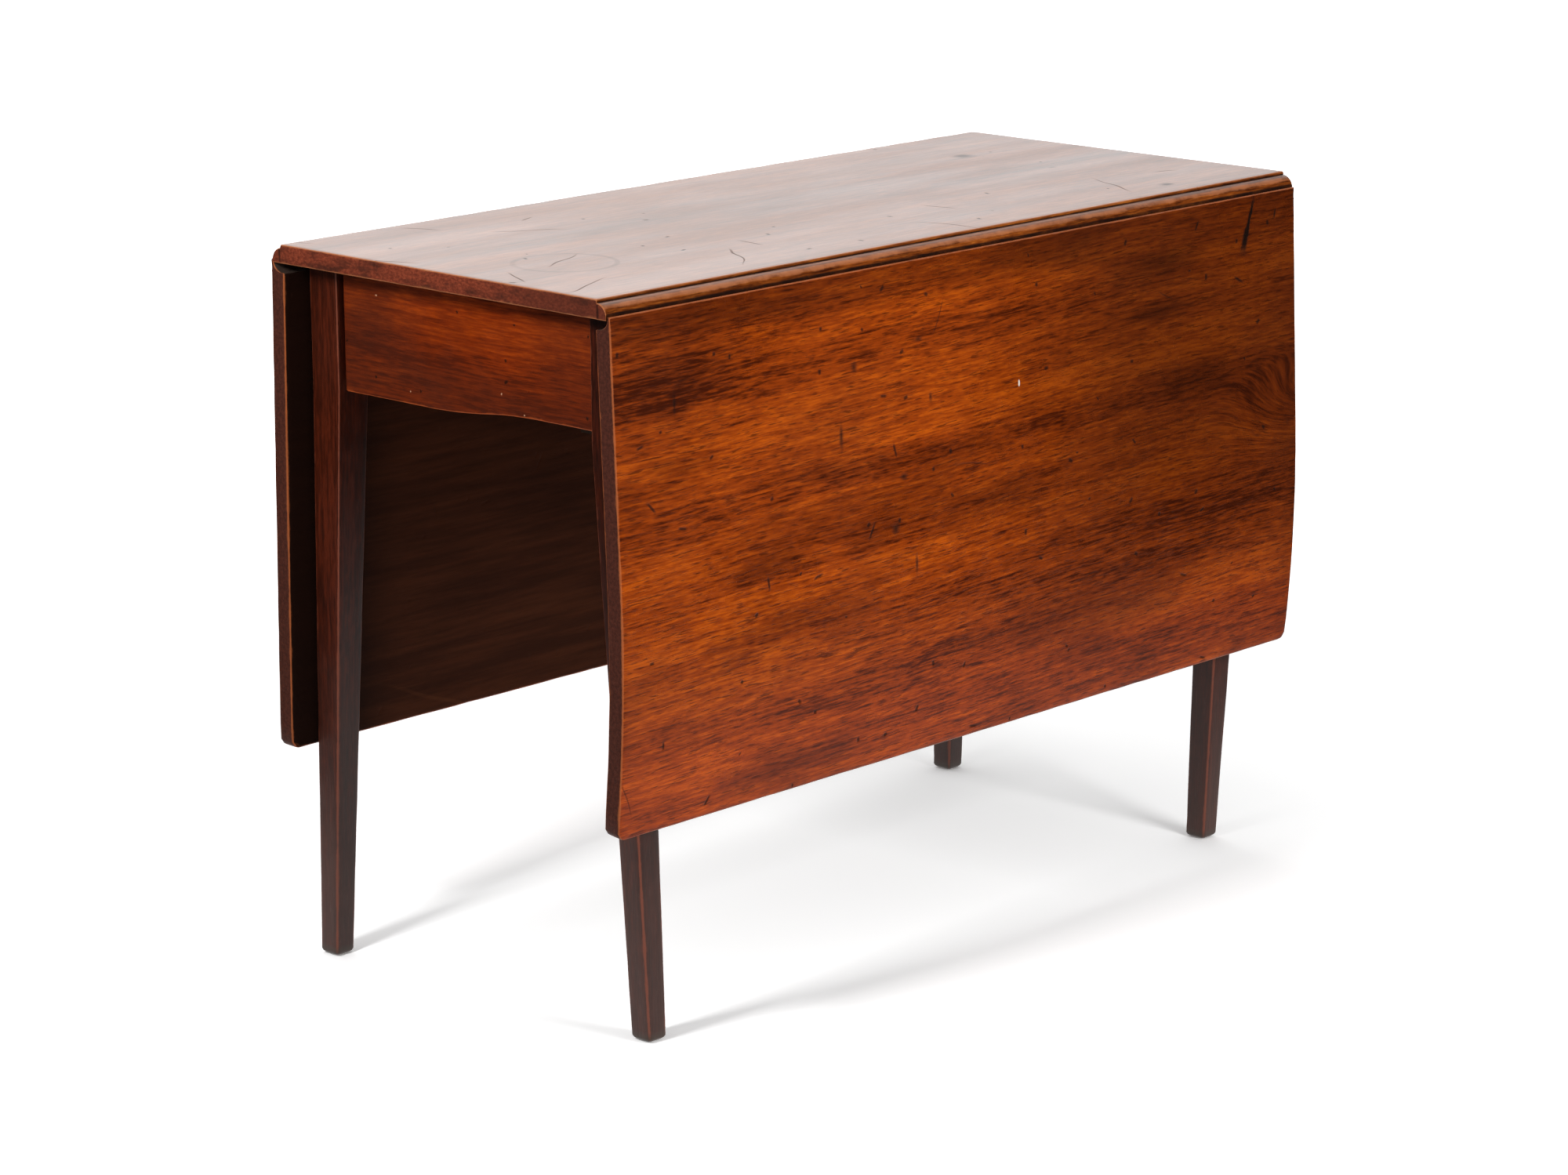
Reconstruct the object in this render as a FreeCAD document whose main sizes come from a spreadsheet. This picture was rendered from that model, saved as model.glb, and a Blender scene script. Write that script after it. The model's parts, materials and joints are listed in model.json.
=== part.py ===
"""Drop leaf table: fixed centre board, two hanging leaves on rule joints, two swing legs.

X runs along the hinge lines, the front leaf faces -Y, and the origin is on the floor under
the middle of the table. Lengths are in millimetres. The framework is the same when it is
turned half a circle about the vertical, so most pieces are drawn once, for the rear (+Y)
side, and set at 0 or 180 degrees.
"""
import FreeCAD, Part
import math
import os
import Sketcher

SIZES = (
    ("height", 720.0, "floor to the top face"),
    ("board", 19.0, "thickness of the top and of both leaves"),
    ("top_length", 1004.0, "centre board along the hinge line"),
    ("leaf_length", 1002.0, "each leaf along the hinge line"),
    ("leaf_depth", 490.0, "hinge axis to the free edge of a leaf"),
    ("hinge_line", 217.0, "middle of the table to each hinge axis"),
    ("ovolo", 12.0, "radius of the moulded edge of the centre board"),
    ("fillet_step", 3.5, "square step above the ovolo"),
    ("cove_gap", 0.5, "running gap between ovolo and cove"),
    ("leaf_corner", 12.0, "rounding of a leaf's free corners"),
    ("rear_lean", 1.25, "degrees the rear leaf hangs out of plumb"),
    ("front_lean", 2.3, "degrees the front leaf hangs out of plumb at its hinge"),
    ("warp_start", 245.0, "hinge axis to where the front leaf starts to bend"),
    ("warp_radius", 1600.0, "radius of the front leaf's bend"),
    ("rail_bottom", 580.0, "floor to the lower edge of the rails"),
    ("leg_side", 475.0, "middle of the table to the outer end face of the legs"),
    ("leg_along", 38.0, "leg's size along X at the top"),
    ("swing_leg_outer", 207.5, "middle of the table to a swing leg's outer face"),
    ("swing_leg_across", 39.0, "swing leg's size along Y at the top"),
    ("fixed_leg_outer", 213.0, "middle of the table to a fixed leg's outer face"),
    ("fixed_leg_across", 33.0, "fixed leg's size along Y at the top"),
    ("foot_along", 23.0, "foot's size along X"),
    ("foot_across", 25.0, "foot's size along Y"),
    ("rear_swing_foot_x", 474.5, "outer face of the rear swing leg's foot"),
    ("rear_swing_foot_y", 222.5, "outer side of the rear swing leg's foot"),
    ("front_swing_foot_x", 440.0, "outer face of the front swing leg's foot"),
    ("front_swing_foot_y", 194.0, "outer side of the front swing leg's foot"),
    ("rear_fixed_foot_x", 452.0, "outer face of the rear fixed leg's foot"),
    ("rear_fixed_foot_y", 208.0, "outer side of the rear fixed leg's foot"),
    ("front_fixed_foot_x", 442.0, "outer face of the front fixed leg's foot"),
    ("front_fixed_foot_y", 212.5, "outer side of the front fixed leg's foot"),
    ("apron_face", 473.0, "middle of the table to the outer face of an end apron"),
    ("apron_thick", 22.0, "end apron's thickness"),
    ("apron_free_end", 162.0, "middle of the table to the free end of an end apron"),
    ("apron_rise", 9.0, "how far the apron's lower edge lifts towards the fixed leg"),
    ("rise_start", 40.0, "where that lift starts, from the middle of the table"),
    ("rise_end", -110.0, "where that lift is complete"),
    ("inner_rail_face", 166.0, "middle of the table to an inner rail's outer face"),
    ("inner_rail_thick", 24.0, "inner rail's thickness"),
    ("rail_face", 196.0, "middle of the table to the hinge rail's outer face"),
    ("knuckle", 14.0, "radius of the wooden knuckle's fingers"),
    ("knuckle_x", 60.0, "middle of the table to the knuckle pin along X"),
    ("shoulder", 1.0, "air between a finger's round end and the rail it faces"),
    ("finger_gap", 0.5, "air between fingers, up and down"),
    ("swing_gap", 1.5, "air between the swing frame and the centre board"),
    ("pin_radius", 3.0, "knuckle pin's radius"),
    ("pin_play", 0.08, "radial play of the swing rail's fingers on the pin"),
    ("tenon_deep", 19.0, "rail tenon's length in a leg"),
    ("tenon_thick", 10.0, "tenon's thickness"),
    ("tenon_low", 602.0, "floor to the lower edge of the tenons"),
    ("tenon_high", 688.0, "floor to the upper edge of the tenons"),
    ("stub", 12.0, "stub tenon's length in an end apron"),
    ("peg_radius", 3.0, "tenon peg's radius"),
    ("brace_x", 210.0, "middle of the table to the middle of a cross brace"),
    ("brace_wide", 60.0, "cross brace's size along X"),
    ("brace_thick", 22.0, "cross brace's size up and down"),
    ("brace_lap", 10.0, "cross brace's lap into the inner rail"),
    ("block_side", 26.0, "corner block's size along X and Y"),
    ("block_tall", 70.0, "corner block's height"),
    ("hinge_x", 360.0, "middle hinge to an outer hinge"),
    ("hinge_half", 19.0, "half of a hinge's width along the hinge line"),
    ("plate", 2.0, "hinge plate's thickness"),
    ("barrel", 3.5, "hinge barrel's radius"),
    ("hinge_pin", 1.5, "hinge pin's radius"),
    ("hinge_play", 0.05, "radial play of a leaf plate's knuckles on the pin"),
    ("knuckle_play", 0.3, "air between neighbouring hinge knuckles"),
    ("top_plate_long", 38.0, "hinge axis to the end of the top plate"),
    ("leaf_plate_long", 56.0, "hinge axis to the end of the leaf plate"),
    ("recess_play", 0.5, "air round the moving hinge parts in the centre board"),
    ("screw_head", 3.6, "hinge screw's head radius"),
    ("screw_shank", 1.8, "hinge screw's shank radius"),
    ("screw_long", 13.0, "hinge screw's length"),
    ("screw_point", 0.4, "radius of a screw's point"),
    ("screw_spread", 12.0, "middle of a hinge plate to its outer screws"),
    ("top_screw_near", 14.0, "hinge axis to the outer screws of a top plate"),
    ("top_screw_far", 30.0, "hinge axis to the middle screw of a top plate"),
    ("leaf_screw_near", 26.0, "hinge axis to the outer screws of a leaf plate"),
    ("leaf_screw_far", 46.0, "hinge axis to the middle screw of a leaf plate"),
    ("brace_screw_y", 90.0, "middle of the table to the screws of a cross brace"),
    ("top_screw_long", 34.0, "length of a screw that holds the centre board"),
    ("rail_screw_long", 42.0, "length of a screw that joins the two rails of a side"),
)

doc = FreeCAD.newDocument("drop_leaf_table")
sheet = doc.addObject("Spreadsheet::Sheet", "size")
for line, (alias, number, note) in enumerate(SIZES, start=1):
    sheet.set(f"A{line}", note)
    sheet.set(f"B{line}", str(number))
    sheet.setAlias(f"B{line}", alias)
doc.recompute()

subparts = []


def value(formula):
    """The number that a formula gives from the sheet's cells."""
    return float(sheet.evalExpression(str(formula)))


def bind(item, prop, formula):
    item.setExpression(prop, str(formula))


def keep(item, label):
    """Mark an object as a finished sub-part with its own name."""
    item.Label = label
    subparts.append(item)
    return item


def set_place(item, x="0", y="0", z="0", turn=0.0, tilt=0.0):
    """Put an object at (x, y, z), tilted about X and then turned about the vertical."""
    spin = FreeCAD.Rotation(FreeCAD.Vector(0, 0, 1), turn)
    lean = FreeCAD.Rotation(FreeCAD.Vector(1, 0, 0), tilt)
    item.Placement = FreeCAD.Placement(FreeCAD.Vector(value(x), value(y), value(z)), spin.multiply(lean))
    bind(item, "Placement.Base.x", x)
    bind(item, "Placement.Base.y", y)
    bind(item, "Placement.Base.z", z)
    return item


def box(name, low, high):
    """A block between two corners, each three formulas."""
    block = doc.addObject("Part::Box", name)
    for prop, a, b in zip(("Length", "Width", "Height"), low, high):
        bind(block, prop, f"({b}) - ({a})")
    return set_place(block, *low)


def rod(name, radius, long, x, y, z, direction="z"):
    """A round bar of a given length from (x, y, z) along +X, +Y or +Z."""
    bar = doc.addObject("Part::Cylinder", name)
    bind(bar, "Radius", radius)
    bind(bar, "Height", long)
    axis = {"x": (0, 1, 0), "y": (-1, 0, 0), "z": (0, 0, 1)}[direction]
    set_place(bar, x, y, z)
    if direction != "z":
        bar.Placement = FreeCAD.Placement(bar.Placement.Base, FreeCAD.Rotation(FreeCAD.Vector(*axis), 90))
    return bar


def join(name, items):
    whole = doc.addObject("Part::MultiFuse", name)
    whole.Shapes = items
    return whole


def cut(name, base, tools):
    """Take the tools away from the base."""
    tool = tools[0] if len(tools) == 1 else join(name + "_tools", tools)
    piece = doc.addObject("Part::Cut", name)
    piece.Base = base
    piece.Tool = tool
    return piece


def turned(name, item, turn):
    """The same shape turned about the vertical through the middle of the table."""
    if not turn:
        return item
    whole = doc.addObject("Part::Compound", name)
    whole.Links = [item]
    whole.Placement = FreeCAD.Placement(FreeCAD.Vector(), FreeCAD.Rotation(FreeCAD.Vector(0, 0, 1), turn))
    return whole


def plane(body, role):
    return next(item for item in body.Origin.OriginFeatures if item.Role == role)


def bulge(start, end, radius):
    """The middle point of an arc; a positive radius puts its centre to the left of the way."""
    chord = end - start
    middle = (start + end) * 0.5
    left = FreeCAD.Vector(-chord.y, chord.x, 0) * (1.0 / chord.Length)
    drop = math.sqrt(radius * radius - (chord.Length / 2) ** 2)
    side = 1.0 if radius > 0 else -1.0
    return middle + left * side * (drop - abs(radius))


def outline(body, role, level, corners, name):
    """A closed sketch through the corners, on a plane of the body moved up to a level.

    A corner is (across, up) in formulas. A third formula is the radius of the arc that leads
    to the next corner, positive where the arc turns left.
    """
    sketch = body.newObject("Sketcher::SketchObject", name)
    sketch.AttachmentSupport = [(plane(body, role), "")]
    sketch.MapMode = "FlatFace"
    sketch.AttachmentOffset = FreeCAD.Placement(FreeCAD.Vector(0, 0, value(level)), FreeCAD.Rotation())
    bind(sketch, "AttachmentOffset.Base.z", level)
    points = [FreeCAD.Vector(value(c[0]), value(c[1]), 0) for c in corners]
    ends = []
    for index, corner in enumerate(corners):
        start, end = points[index], points[(index + 1) % len(points)]
        if len(corner) == 3:
            radius = value(corner[2])
            middle = bulge(start, end, radius)
            way = (start, middle, end) if radius > 0 else (end, middle, start)
            edge = sketch.addGeometry(Part.Arc(*way), False)
        else:
            edge = sketch.addGeometry(Part.LineSegment(start, end), False)
        first = sketch.Geometry[edge].StartPoint
        ends.append((edge, (1, 2) if (first - start).Length < 1e-6 else (2, 1)))
    for index, corner in enumerate(corners):
        edge, (begin, finish) = ends[index]
        following, (next_begin, _) = ends[(index + 1) % len(ends)]
        sketch.addConstraint(Sketcher.Constraint("Coincident", edge, finish, following, next_begin))
        for kind, formula, size in zip(("DistanceX", "DistanceY"), corner, points[index]):
            number = sketch.addConstraint(Sketcher.Constraint(kind, -1, 1, edge, begin, size))
            bind(sketch, f"Constraints[{number}]", formula)
        if len(corner) == 3:
            radius = abs(value(corner[2]))
            number = sketch.addConstraint(Sketcher.Constraint("Radius", edge, radius))
            bind(sketch, f"Constraints[{number}]", f"abs({corner[2]})")
    return sketch


def rectangle(x0, y0, x1, y1):
    return ((x0, y0), (x1, y0), (x1, y1), (x0, y1))


def pad(body, sketch, long, name):
    feature = body.newObject("PartDesign::Pad", name)
    feature.Profile = sketch
    bind(feature, "Length", long)
    body.Tip = feature
    return feature


def fasteners(label, places):
    """Countersunk wood screws, each (point, direction, length) with the head at the point."""
    head = value("size.screw_head")
    shank = value("size.screw_shank")
    sink = head - shank
    screws = []
    for point, direction, long in places:
        head_shape = Part.makeCone(head, shank, sink, point, direction)
        body_long = long - 2 * shank
        shank_shape = Part.makeCylinder(shank, body_long - sink, point + direction * sink, direction)
        tip = Part.makeCone(shank, value("size.screw_point"), 2 * shank, point + direction * body_long, direction)
        screws.append(head_shape.fuse([shank_shape, tip]).removeSplitter())
    group = doc.addObject("Part::Feature", label)
    group.Shape = Part.makeCompound(screws)
    return keep(group, label)


def side_turn(side):
    return 0.0 if side == "rear" else 180.0


def side_point(side, x, y, z):
    """A point drawn for the rear side, moved to the side it belongs to."""
    flip = 1.0 if side == "rear" else -1.0
    return FreeCAD.Vector(flip * x, flip * y, z)


AXIS_Z = "(size.height - size.ovolo - size.fillet_step)"
UNDER = "(size.height - size.board)"
OUT = "(size.ovolo + size.fillet_step)"
IN = "(size.board - size.ovolo - size.fillet_step)"
PIN_Y = "(size.rail_face - size.knuckle)"
HINGES = (-1, 0, 1)
SCREW_SPOTS = (-1, 0, 1)


# ---------------------------------------------------------------- hinges and their screws
def hinge_screws(side):
    """Screws up into the centre board and through the leaf plates into the leaf."""
    axis_z, axis_y = value(AXIS_Z), value("size.hinge_line")
    long = value("size.screw_long")
    lean = math.radians(value(f"size.{side}_lean"))
    down = FreeCAD.Vector(0, math.sin(lean), -math.cos(lean))
    out = FreeCAD.Vector(0, math.cos(lean), math.sin(lean))
    flip = FreeCAD.Rotation(FreeCAD.Vector(0, 0, 1), side_turn(side))
    up_places, leaf_places = [], []
    for number in HINGES:
        for spot in SCREW_SPOTS:
            x = number * value("size.hinge_x") + spot * value("size.screw_spread")
            row = "near" if spot else "far"
            back = value(f"size.top_screw_{row}")
            point = side_point(side, x, axis_y - back, value(UNDER))
            up_places.append((point, FreeCAD.Vector(0, 0, 1), long))
            along = value(f"size.leaf_screw_{row}")
            centre = FreeCAD.Vector(x, axis_y, axis_z) + down * along - out * value(IN)
            leaf_places.append((flip.multVec(centre), flip.multVec(out), long))
    return (
        fasteners(f"{side}_hinge_top_screws", up_places),
        fasteners(f"{side}_hinge_leaf_screws", leaf_places),
    )


def hinge_set(side, top_screws, leaf_screws):
    """Three iron rule joint hinges: a top plate, a leaf plate and a pin each."""
    lean = value(f"size.{side}_lean")
    turn = side_turn(side)
    flip = "" if side == "rear" else "-"
    third = "(2 * size.hinge_half / 3)"
    for number, place in enumerate(HINGES, start=1):
        x = f"{flip}({place} * size.hinge_x)"
        y = f"{flip}size.hinge_line"
        mid = f"(-size.hinge_half + {third} + size.knuckle_play)"
        mid_end = f"(size.hinge_half - {third} - size.knuckle_play)"
        pin = rod(f"{side}_hinge_pin_rod_{number}", "size.hinge_pin", "2 * size.hinge_half",
                  "-size.hinge_half", "0", "0", "x")
        pin_node = doc.addObject("Part::Compound", f"{side}_hinge_pin_node_{number}")
        pin_node.Links = [pin]
        set_place(pin_node, x, y, AXIS_Z, turn)
        keep(pin_node, f"{side}_hinge_pin_{number}")

        name = f"{side}_top_plate_{number}"
        flap = box(name + "_flap", ("-size.hinge_half", "-size.top_plate_long", f"-{IN}"),
                   ("size.hinge_half", "-size.barrel - size.recess_play", f"-{IN} + size.plate"))
        tab = box(name + "_tab", (mid, "-size.barrel - size.recess_play - 1", f"-{IN}"),
                  (mid_end, "0", f"-{IN} + size.plate"))
        knuckle = rod(name + "_knuckle", "size.barrel", f"{mid_end} - {mid}", mid, "0", "0", "x")
        bore = rod(name + "_bore", "size.hinge_pin", f"{mid_end} - {mid}", mid, "0", "0", "x")
        plate = cut(name + "_bored", join(name + "_blank", [flap, tab, knuckle]), [bore])
        set_place(plate, x, y, AXIS_Z, turn)
        keep(cut(name, plate, [top_screws]), f"{side}_hinge_top_plate_{number}")

        name = f"{side}_leaf_plate_{number}"
        flap = box(name + "_flap", ("-size.hinge_half", f"-{IN}", "-size.leaf_plate_long"),
                   ("size.hinge_half", f"-{IN} + size.plate", "-size.barrel - size.recess_play"))
        parts = [flap]
        bores = []
        for end, (a, b) in enumerate((("-size.hinge_half", f"-size.hinge_half + {third} - size.knuckle_play"),
                                      (f"size.hinge_half - {third} + size.knuckle_play", "size.hinge_half"))):
            parts.append(box(f"{name}_tab_{end}", (a, f"-{IN}", "-size.barrel - size.recess_play - 1"),
                             (b, f"-{IN} + size.plate", "0")))
            parts.append(rod(f"{name}_knuckle_{end}", "size.barrel", f"({b}) - ({a})", a, "0", "0", "x"))
            bores.append(rod(f"{name}_bore_{end}", "size.hinge_pin + size.hinge_play", f"({b}) - ({a})",
                             a, "0", "0", "x"))
        plate = cut(name + "_bored", join(name + "_blank", parts), bores)
        set_place(plate, x, y, AXIS_Z, turn, lean)
        keep(cut(name, plate, [leaf_screws]), f"{side}_hinge_leaf_plate_{number}")


def hinge_recesses(side):
    """Housings in the centre board's underside for the plates, barrels and swinging leaf plates."""
    flip = "" if side == "rear" else "-"
    tools = []
    for number, place in enumerate(HINGES, start=1):
        name = f"{side}_recess_{number}"
        fixed = box(name + "_plate", ("-size.hinge_half", "-size.top_plate_long", f"-{IN} - 1"),
                    ("size.hinge_half", "0", f"-{IN} + size.plate"))
        running = box(name + "_running", ("-size.hinge_half - size.recess_play", "-1", f"-{IN} - 1"),
                      ("size.hinge_half + size.recess_play", "size.ovolo + 1",
                       f"-{IN} + size.plate + size.recess_play"))
        gutter = rod(name + "_gutter", "size.barrel + size.recess_play", "2 * (size.hinge_half + size.recess_play)",
                     "-size.hinge_half - size.recess_play", "0", "0", "x")
        whole = join(name, [fixed, running, gutter])
        set_place(whole, f"{flip}({place} * size.hinge_x)", f"{flip}size.hinge_line", AXIS_Z, side_turn(side))
        tools.append(whole)
    return tools


# ---------------------------------------------------------------- boards
def top_board(tools):
    """Centre board with an ovolo and fillet along both hinge lines."""
    body = doc.addObject("PartDesign::Body", "top_board_blank")
    low_edge = f"(size.hinge_line + sqrt(size.ovolo ^ 2 - {IN} ^ 2))"
    step_z = "(size.height - size.fillet_step)"
    corners = (
        ("-size.hinge_line", "size.height"),
        ("-size.hinge_line", step_z, "size.ovolo"),
        (f"-{low_edge}", UNDER),
        (low_edge, UNDER, "size.ovolo"),
        ("size.hinge_line", step_z),
        ("size.hinge_line", "size.height"),
    )
    sketch = outline(body, "YZ_Plane", "-size.top_length / 2", corners, "top_outline")
    pad(body, sketch, "size.top_length", "top_pad")
    keep(cut("top_board", body, tools), "top_board")


def leaf_corners(warped):
    """Section of a leaf that hangs from the hinge axis at the origin, outer face at +Y."""
    lip = "-size.cove_gap"
    cove = "(size.ovolo + size.cove_gap)"
    lip_y = f"sqrt({cove} ^ 2 - size.cove_gap ^ 2)"
    start = ((OUT, lip), (lip_y, lip, f"-{cove}"), ("0", f"-{cove}"), (f"-{IN}", f"-{cove}"))
    if not warped:
        return start + ((f"-{IN}", "-size.leaf_depth"), (OUT, "-size.leaf_depth"))
    bend = "(180 / pi * (size.leaf_depth - size.warp_start) / size.warp_radius) * 1 deg"
    centre = f"({OUT} - size.warp_radius)"
    inner = "(size.warp_radius - size.board)"
    return start + (
        (f"-{IN}", "-size.warp_start", f"-{inner}"),
        (f"{centre} + {inner} * cos({bend})", f"-size.warp_start - {inner} * sin({bend})"),
        (f"{centre} + size.warp_radius * cos({bend})",
         f"-size.warp_start - size.warp_radius * sin({bend})", "size.warp_radius"),
        (OUT, "-size.warp_start"),
    )


def leaf_board(side, warped, screws):
    """A leaf with its cove, rounded free corners and housings for the hinge plates."""
    body = doc.addObject("PartDesign::Body", f"{side}_leaf_blank")
    sketch = outline(body, "YZ_Plane", "-size.leaf_length / 2", leaf_corners(warped), f"{side}_leaf_outline")
    feature = pad(body, sketch, "size.leaf_length", f"{side}_leaf_pad")
    doc.recompute()
    corners = []
    for number, edge in enumerate(feature.Shape.Edges, start=1):
        ends = edge.Vertexes
        low = max(point.Z for point in ends) < -value("size.leaf_depth") + value("size.board")
        across = abs(ends[0].X - ends[-1].X) < 0.001
        if low and across and edge.Length > value("size.board") / 2:
            corners.append(f"Edge{number}")
    rounding = body.newObject("PartDesign::Fillet", f"{side}_leaf_rounding")
    rounding.Base = (feature, corners)
    bind(rounding, "Radius", "size.leaf_corner")
    body.Tip = rounding
    flip = "" if side == "rear" else "-"
    set_place(body, "0", f"{flip}size.hinge_line", AXIS_Z, side_turn(side), value(f"size.{side}_lean"))
    tools = [screws]
    for number, place in enumerate(HINGES, start=1):
        name = f"{side}_leaf_recess_{number}"
        middle = f"({flip}{place} * size.hinge_x)"
        housing = box(name + "_box", ("-size.hinge_half", f"-{IN} - 1", "-size.leaf_plate_long"),
                      ("size.hinge_half", f"-{IN} + size.plate", "0"))
        whole = doc.addObject("Part::Compound", name)
        whole.Links = [housing]
        set_place(whole, middle, f"{flip}size.hinge_line", AXIS_Z, side_turn(side), value(f"size.{side}_lean"))
        tools.append(whole)
    keep(cut(f"{side}_leaf_board", body, tools), f"{side}_leaf_board")


# ---------------------------------------------------------------- legs, aprons and rails
def leg_blank(name, end, outer, across, top, foot_x, foot_y, turn):
    """A leg, square where it meets the rails and tapered below. end is "-" or "" for -X or +X."""
    body = doc.addObject("PartDesign::Body", name)
    inner_x = f"{end}(size.leg_side - size.leg_along)"
    head = rectangle(f"{end}size.leg_side", f"{outer} - {across}", inner_x, outer)
    foot_inner = f"{end}({foot_x} - size.foot_along)"
    foot = rectangle(f"{end}{foot_x}", f"{foot_y} - size.foot_across", foot_inner, foot_y)
    if not end:
        head = (head[1], head[0], head[3], head[2])
        foot = (foot[1], foot[0], foot[3], foot[2])
    head_sketch = outline(body, "XY_Plane", "size.rail_bottom", head, name + "_head")
    foot_sketch = outline(body, "XY_Plane", "0", foot, name + "_foot")
    pad(body, head_sketch, f"{top} - size.rail_bottom", name + "_block")
    taper_sketch = outline(body, "XY_Plane", "size.rail_bottom", head, name + "_shoulder")
    taper = body.newObject("PartDesign::AdditiveLoft", name + "_taper")
    taper.Profile = taper_sketch
    taper.Sections = [foot_sketch]
    taper.Ruled = True
    body.Tip = taper
    set_place(body, turn=turn)
    return body


def tenon_pegs(label, places):
    """Oak pegs through a mortise and tenon, each (side, x, outer y, length, z)."""
    radius = value("size.peg_radius")
    pegs = []
    for side, x, y, long, z in places:
        point = side_point(side, x, y, z)
        inward = side_point(side, 0, -1, 0)
        pegs.append(Part.makeCylinder(radius, long, point, inward))
    group = doc.addObject("Part::Feature", label)
    group.Shape = Part.makeCompound(pegs)
    return keep(group, label)


PEG_HEIGHTS = (624.0, 666.0)


def frame_pegs():
    places = []
    for side in ("rear", "front"):
        for z in PEG_HEIGHTS:
            places.append((side, value("size.leg_side - size.leg_along + size.tenon_deep / 2"),
                           value("size.fixed_leg_outer"), value("size.fixed_leg_across"), z))
    return tenon_pegs("frame_tenon_pegs", places)


def gate_pegs(side):
    x = -value("size.leg_side - size.leg_along + size.tenon_deep / 2")
    places = [(side, x, value("size.swing_leg_outer"), value("size.swing_leg_across"), z) for z in PEG_HEIGHTS]
    return tenon_pegs(f"{side}_gate_pegs", places)


def end_apron(side, label, inner_tools):
    """End apron of the rear swing leg's end, with its tenon into the fixed leg opposite."""
    body = doc.addObject("PartDesign::Body", label + "_blank")
    half = "((size.rise_start - size.rise_end) / 2)"
    rise = "(size.apron_rise / 2)"
    radius = f"(({half} ^ 2 + {rise} ^ 2) / (2 * {rise}))"
    bottom = "size.rail_bottom"
    middle = f"(size.rise_start - {half})"
    shoulder = "-(size.fixed_leg_outer - size.fixed_leg_across)"
    corners = (
        ("size.rise_end", f"{bottom} + size.apron_rise", f"-{radius}"),
        (middle, f"{bottom} + {rise}", radius),
        ("size.rise_start", bottom),
        ("size.apron_free_end", bottom),
        ("size.apron_free_end", UNDER),
        (shoulder, UNDER),
        (shoulder, f"{bottom} + size.apron_rise"),
    )
    sketch = outline(body, "YZ_Plane", "-size.apron_face", corners, label + "_outline")
    pad(body, sketch, "size.apron_thick", label + "_pad")
    tongue_x = "-size.apron_face + (size.apron_thick - size.tenon_thick) / 2"
    tongue = box(label + "_tongue", (tongue_x, f"{shoulder} - size.tenon_deep", "size.tenon_low"),
                 (f"{tongue_x} + size.tenon_thick", f"{shoulder} + 5", "size.tenon_high"))
    whole = turned(label + "_set", join(label + "_whole", [body, tongue]), side_turn(side))
    return keep(cut(label, whole, inner_tools), label)


def inner_rail(side, tools):
    """Softwood rail behind the hinge rail, stub tenoned into both end aprons."""
    name = f"{side}_inner_rail"
    reach = "(size.apron_face - size.apron_thick)"
    low_y = "size.inner_rail_face - size.inner_rail_thick"
    beam = box(name + "_beam", (f"-{reach}", low_y, "size.rail_bottom"), (reach, "size.inner_rail_face", UNDER))
    stub_y = f"{low_y} + (size.inner_rail_thick - size.tenon_thick) / 2"
    stubs = box(name + "_stubs", (f"-{reach} - size.stub", stub_y, "size.tenon_low"),
                (f"{reach} + size.stub", f"{stub_y} + size.tenon_thick", "size.tenon_high"))
    whole = turned(name + "_set", join(name + "_whole", [beam, stubs]), side_turn(side))
    return keep(cut(name, whole, tools), name)


def finger_levels():
    """Five fingers share the rail's height: the fixed rail has three and the swing rail two."""
    low, high = value("size.rail_bottom"), value(UNDER)
    step = (high - low) / 5
    return [(low + index * step, low + (index + 1) * step) for index in range(5)]


def knuckle_tools(name, side_sign, fixed):
    """What a rail loses at the knuckle: the other rail's fingers, and the corners past its own."""
    gap = value("size.finger_gap") / 2
    reach = "(size.knuckle + size.shoulder)"
    tools = []
    for index, (low, high) in enumerate(finger_levels()):
        own = (index % 2 == 0) == fixed
        if own:
            continue
        ends = sorted((f"-size.knuckle_x - {reach}", f"-size.knuckle_x + {reach}"), key=value)
        tools.append(box(f"{name}_slot_{index}", (ends[0], f"{PIN_Y} - 2 * size.knuckle", str(low - gap)),
                         (ends[1], f"{PIN_Y} + 2 * size.knuckle", str(high + gap))))
    round_end = rod(f"{name}_round", "size.knuckle", "size.height", "-size.knuckle_x", PIN_Y, "0")
    far = f"-size.knuckle_x + {side_sign} * 3 * size.knuckle"
    ends = sorted((far, "-size.knuckle_x"), key=value)
    corner = box(f"{name}_corner", (ends[0], f"{PIN_Y} - 3 * size.knuckle", "0"),
                 (ends[1], f"{PIN_Y} + 3 * size.knuckle", "size.height"))
    tools.append(cut(f"{name}_corners", corner, [round_end]))
    return tools


def hinge_rail(side, tools):
    """Fixed half of the wooden knuckle, nailed to the inner rail and tenoned into the fixed leg."""
    name = f"{side}_hinge_rail"
    beam = box(name + "_beam", ("-size.knuckle_x - size.knuckle", "size.inner_rail_face", "size.rail_bottom"),
               ("size.leg_side - size.leg_along", "size.rail_face", UNDER))
    tenon_y = "size.rail_face - 1 - size.tenon_thick"
    tenon = box(name + "_tenon", ("size.leg_side - size.leg_along - 5", tenon_y, "size.tenon_low"),
                ("size.leg_side - size.leg_along + size.tenon_deep", f"{tenon_y} + size.tenon_thick",
                 "size.tenon_high"))
    bore = rod(name + "_bore", "size.pin_radius", "size.height", "-size.knuckle_x", PIN_Y, "0")
    shaped = cut(name + "_shaped", join(name + "_whole", [beam, tenon]), knuckle_tools(name, -1, True) + [bore])
    return keep(cut(name, turned(name + "_set", shaped, side_turn(side)), tools), name)


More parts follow.
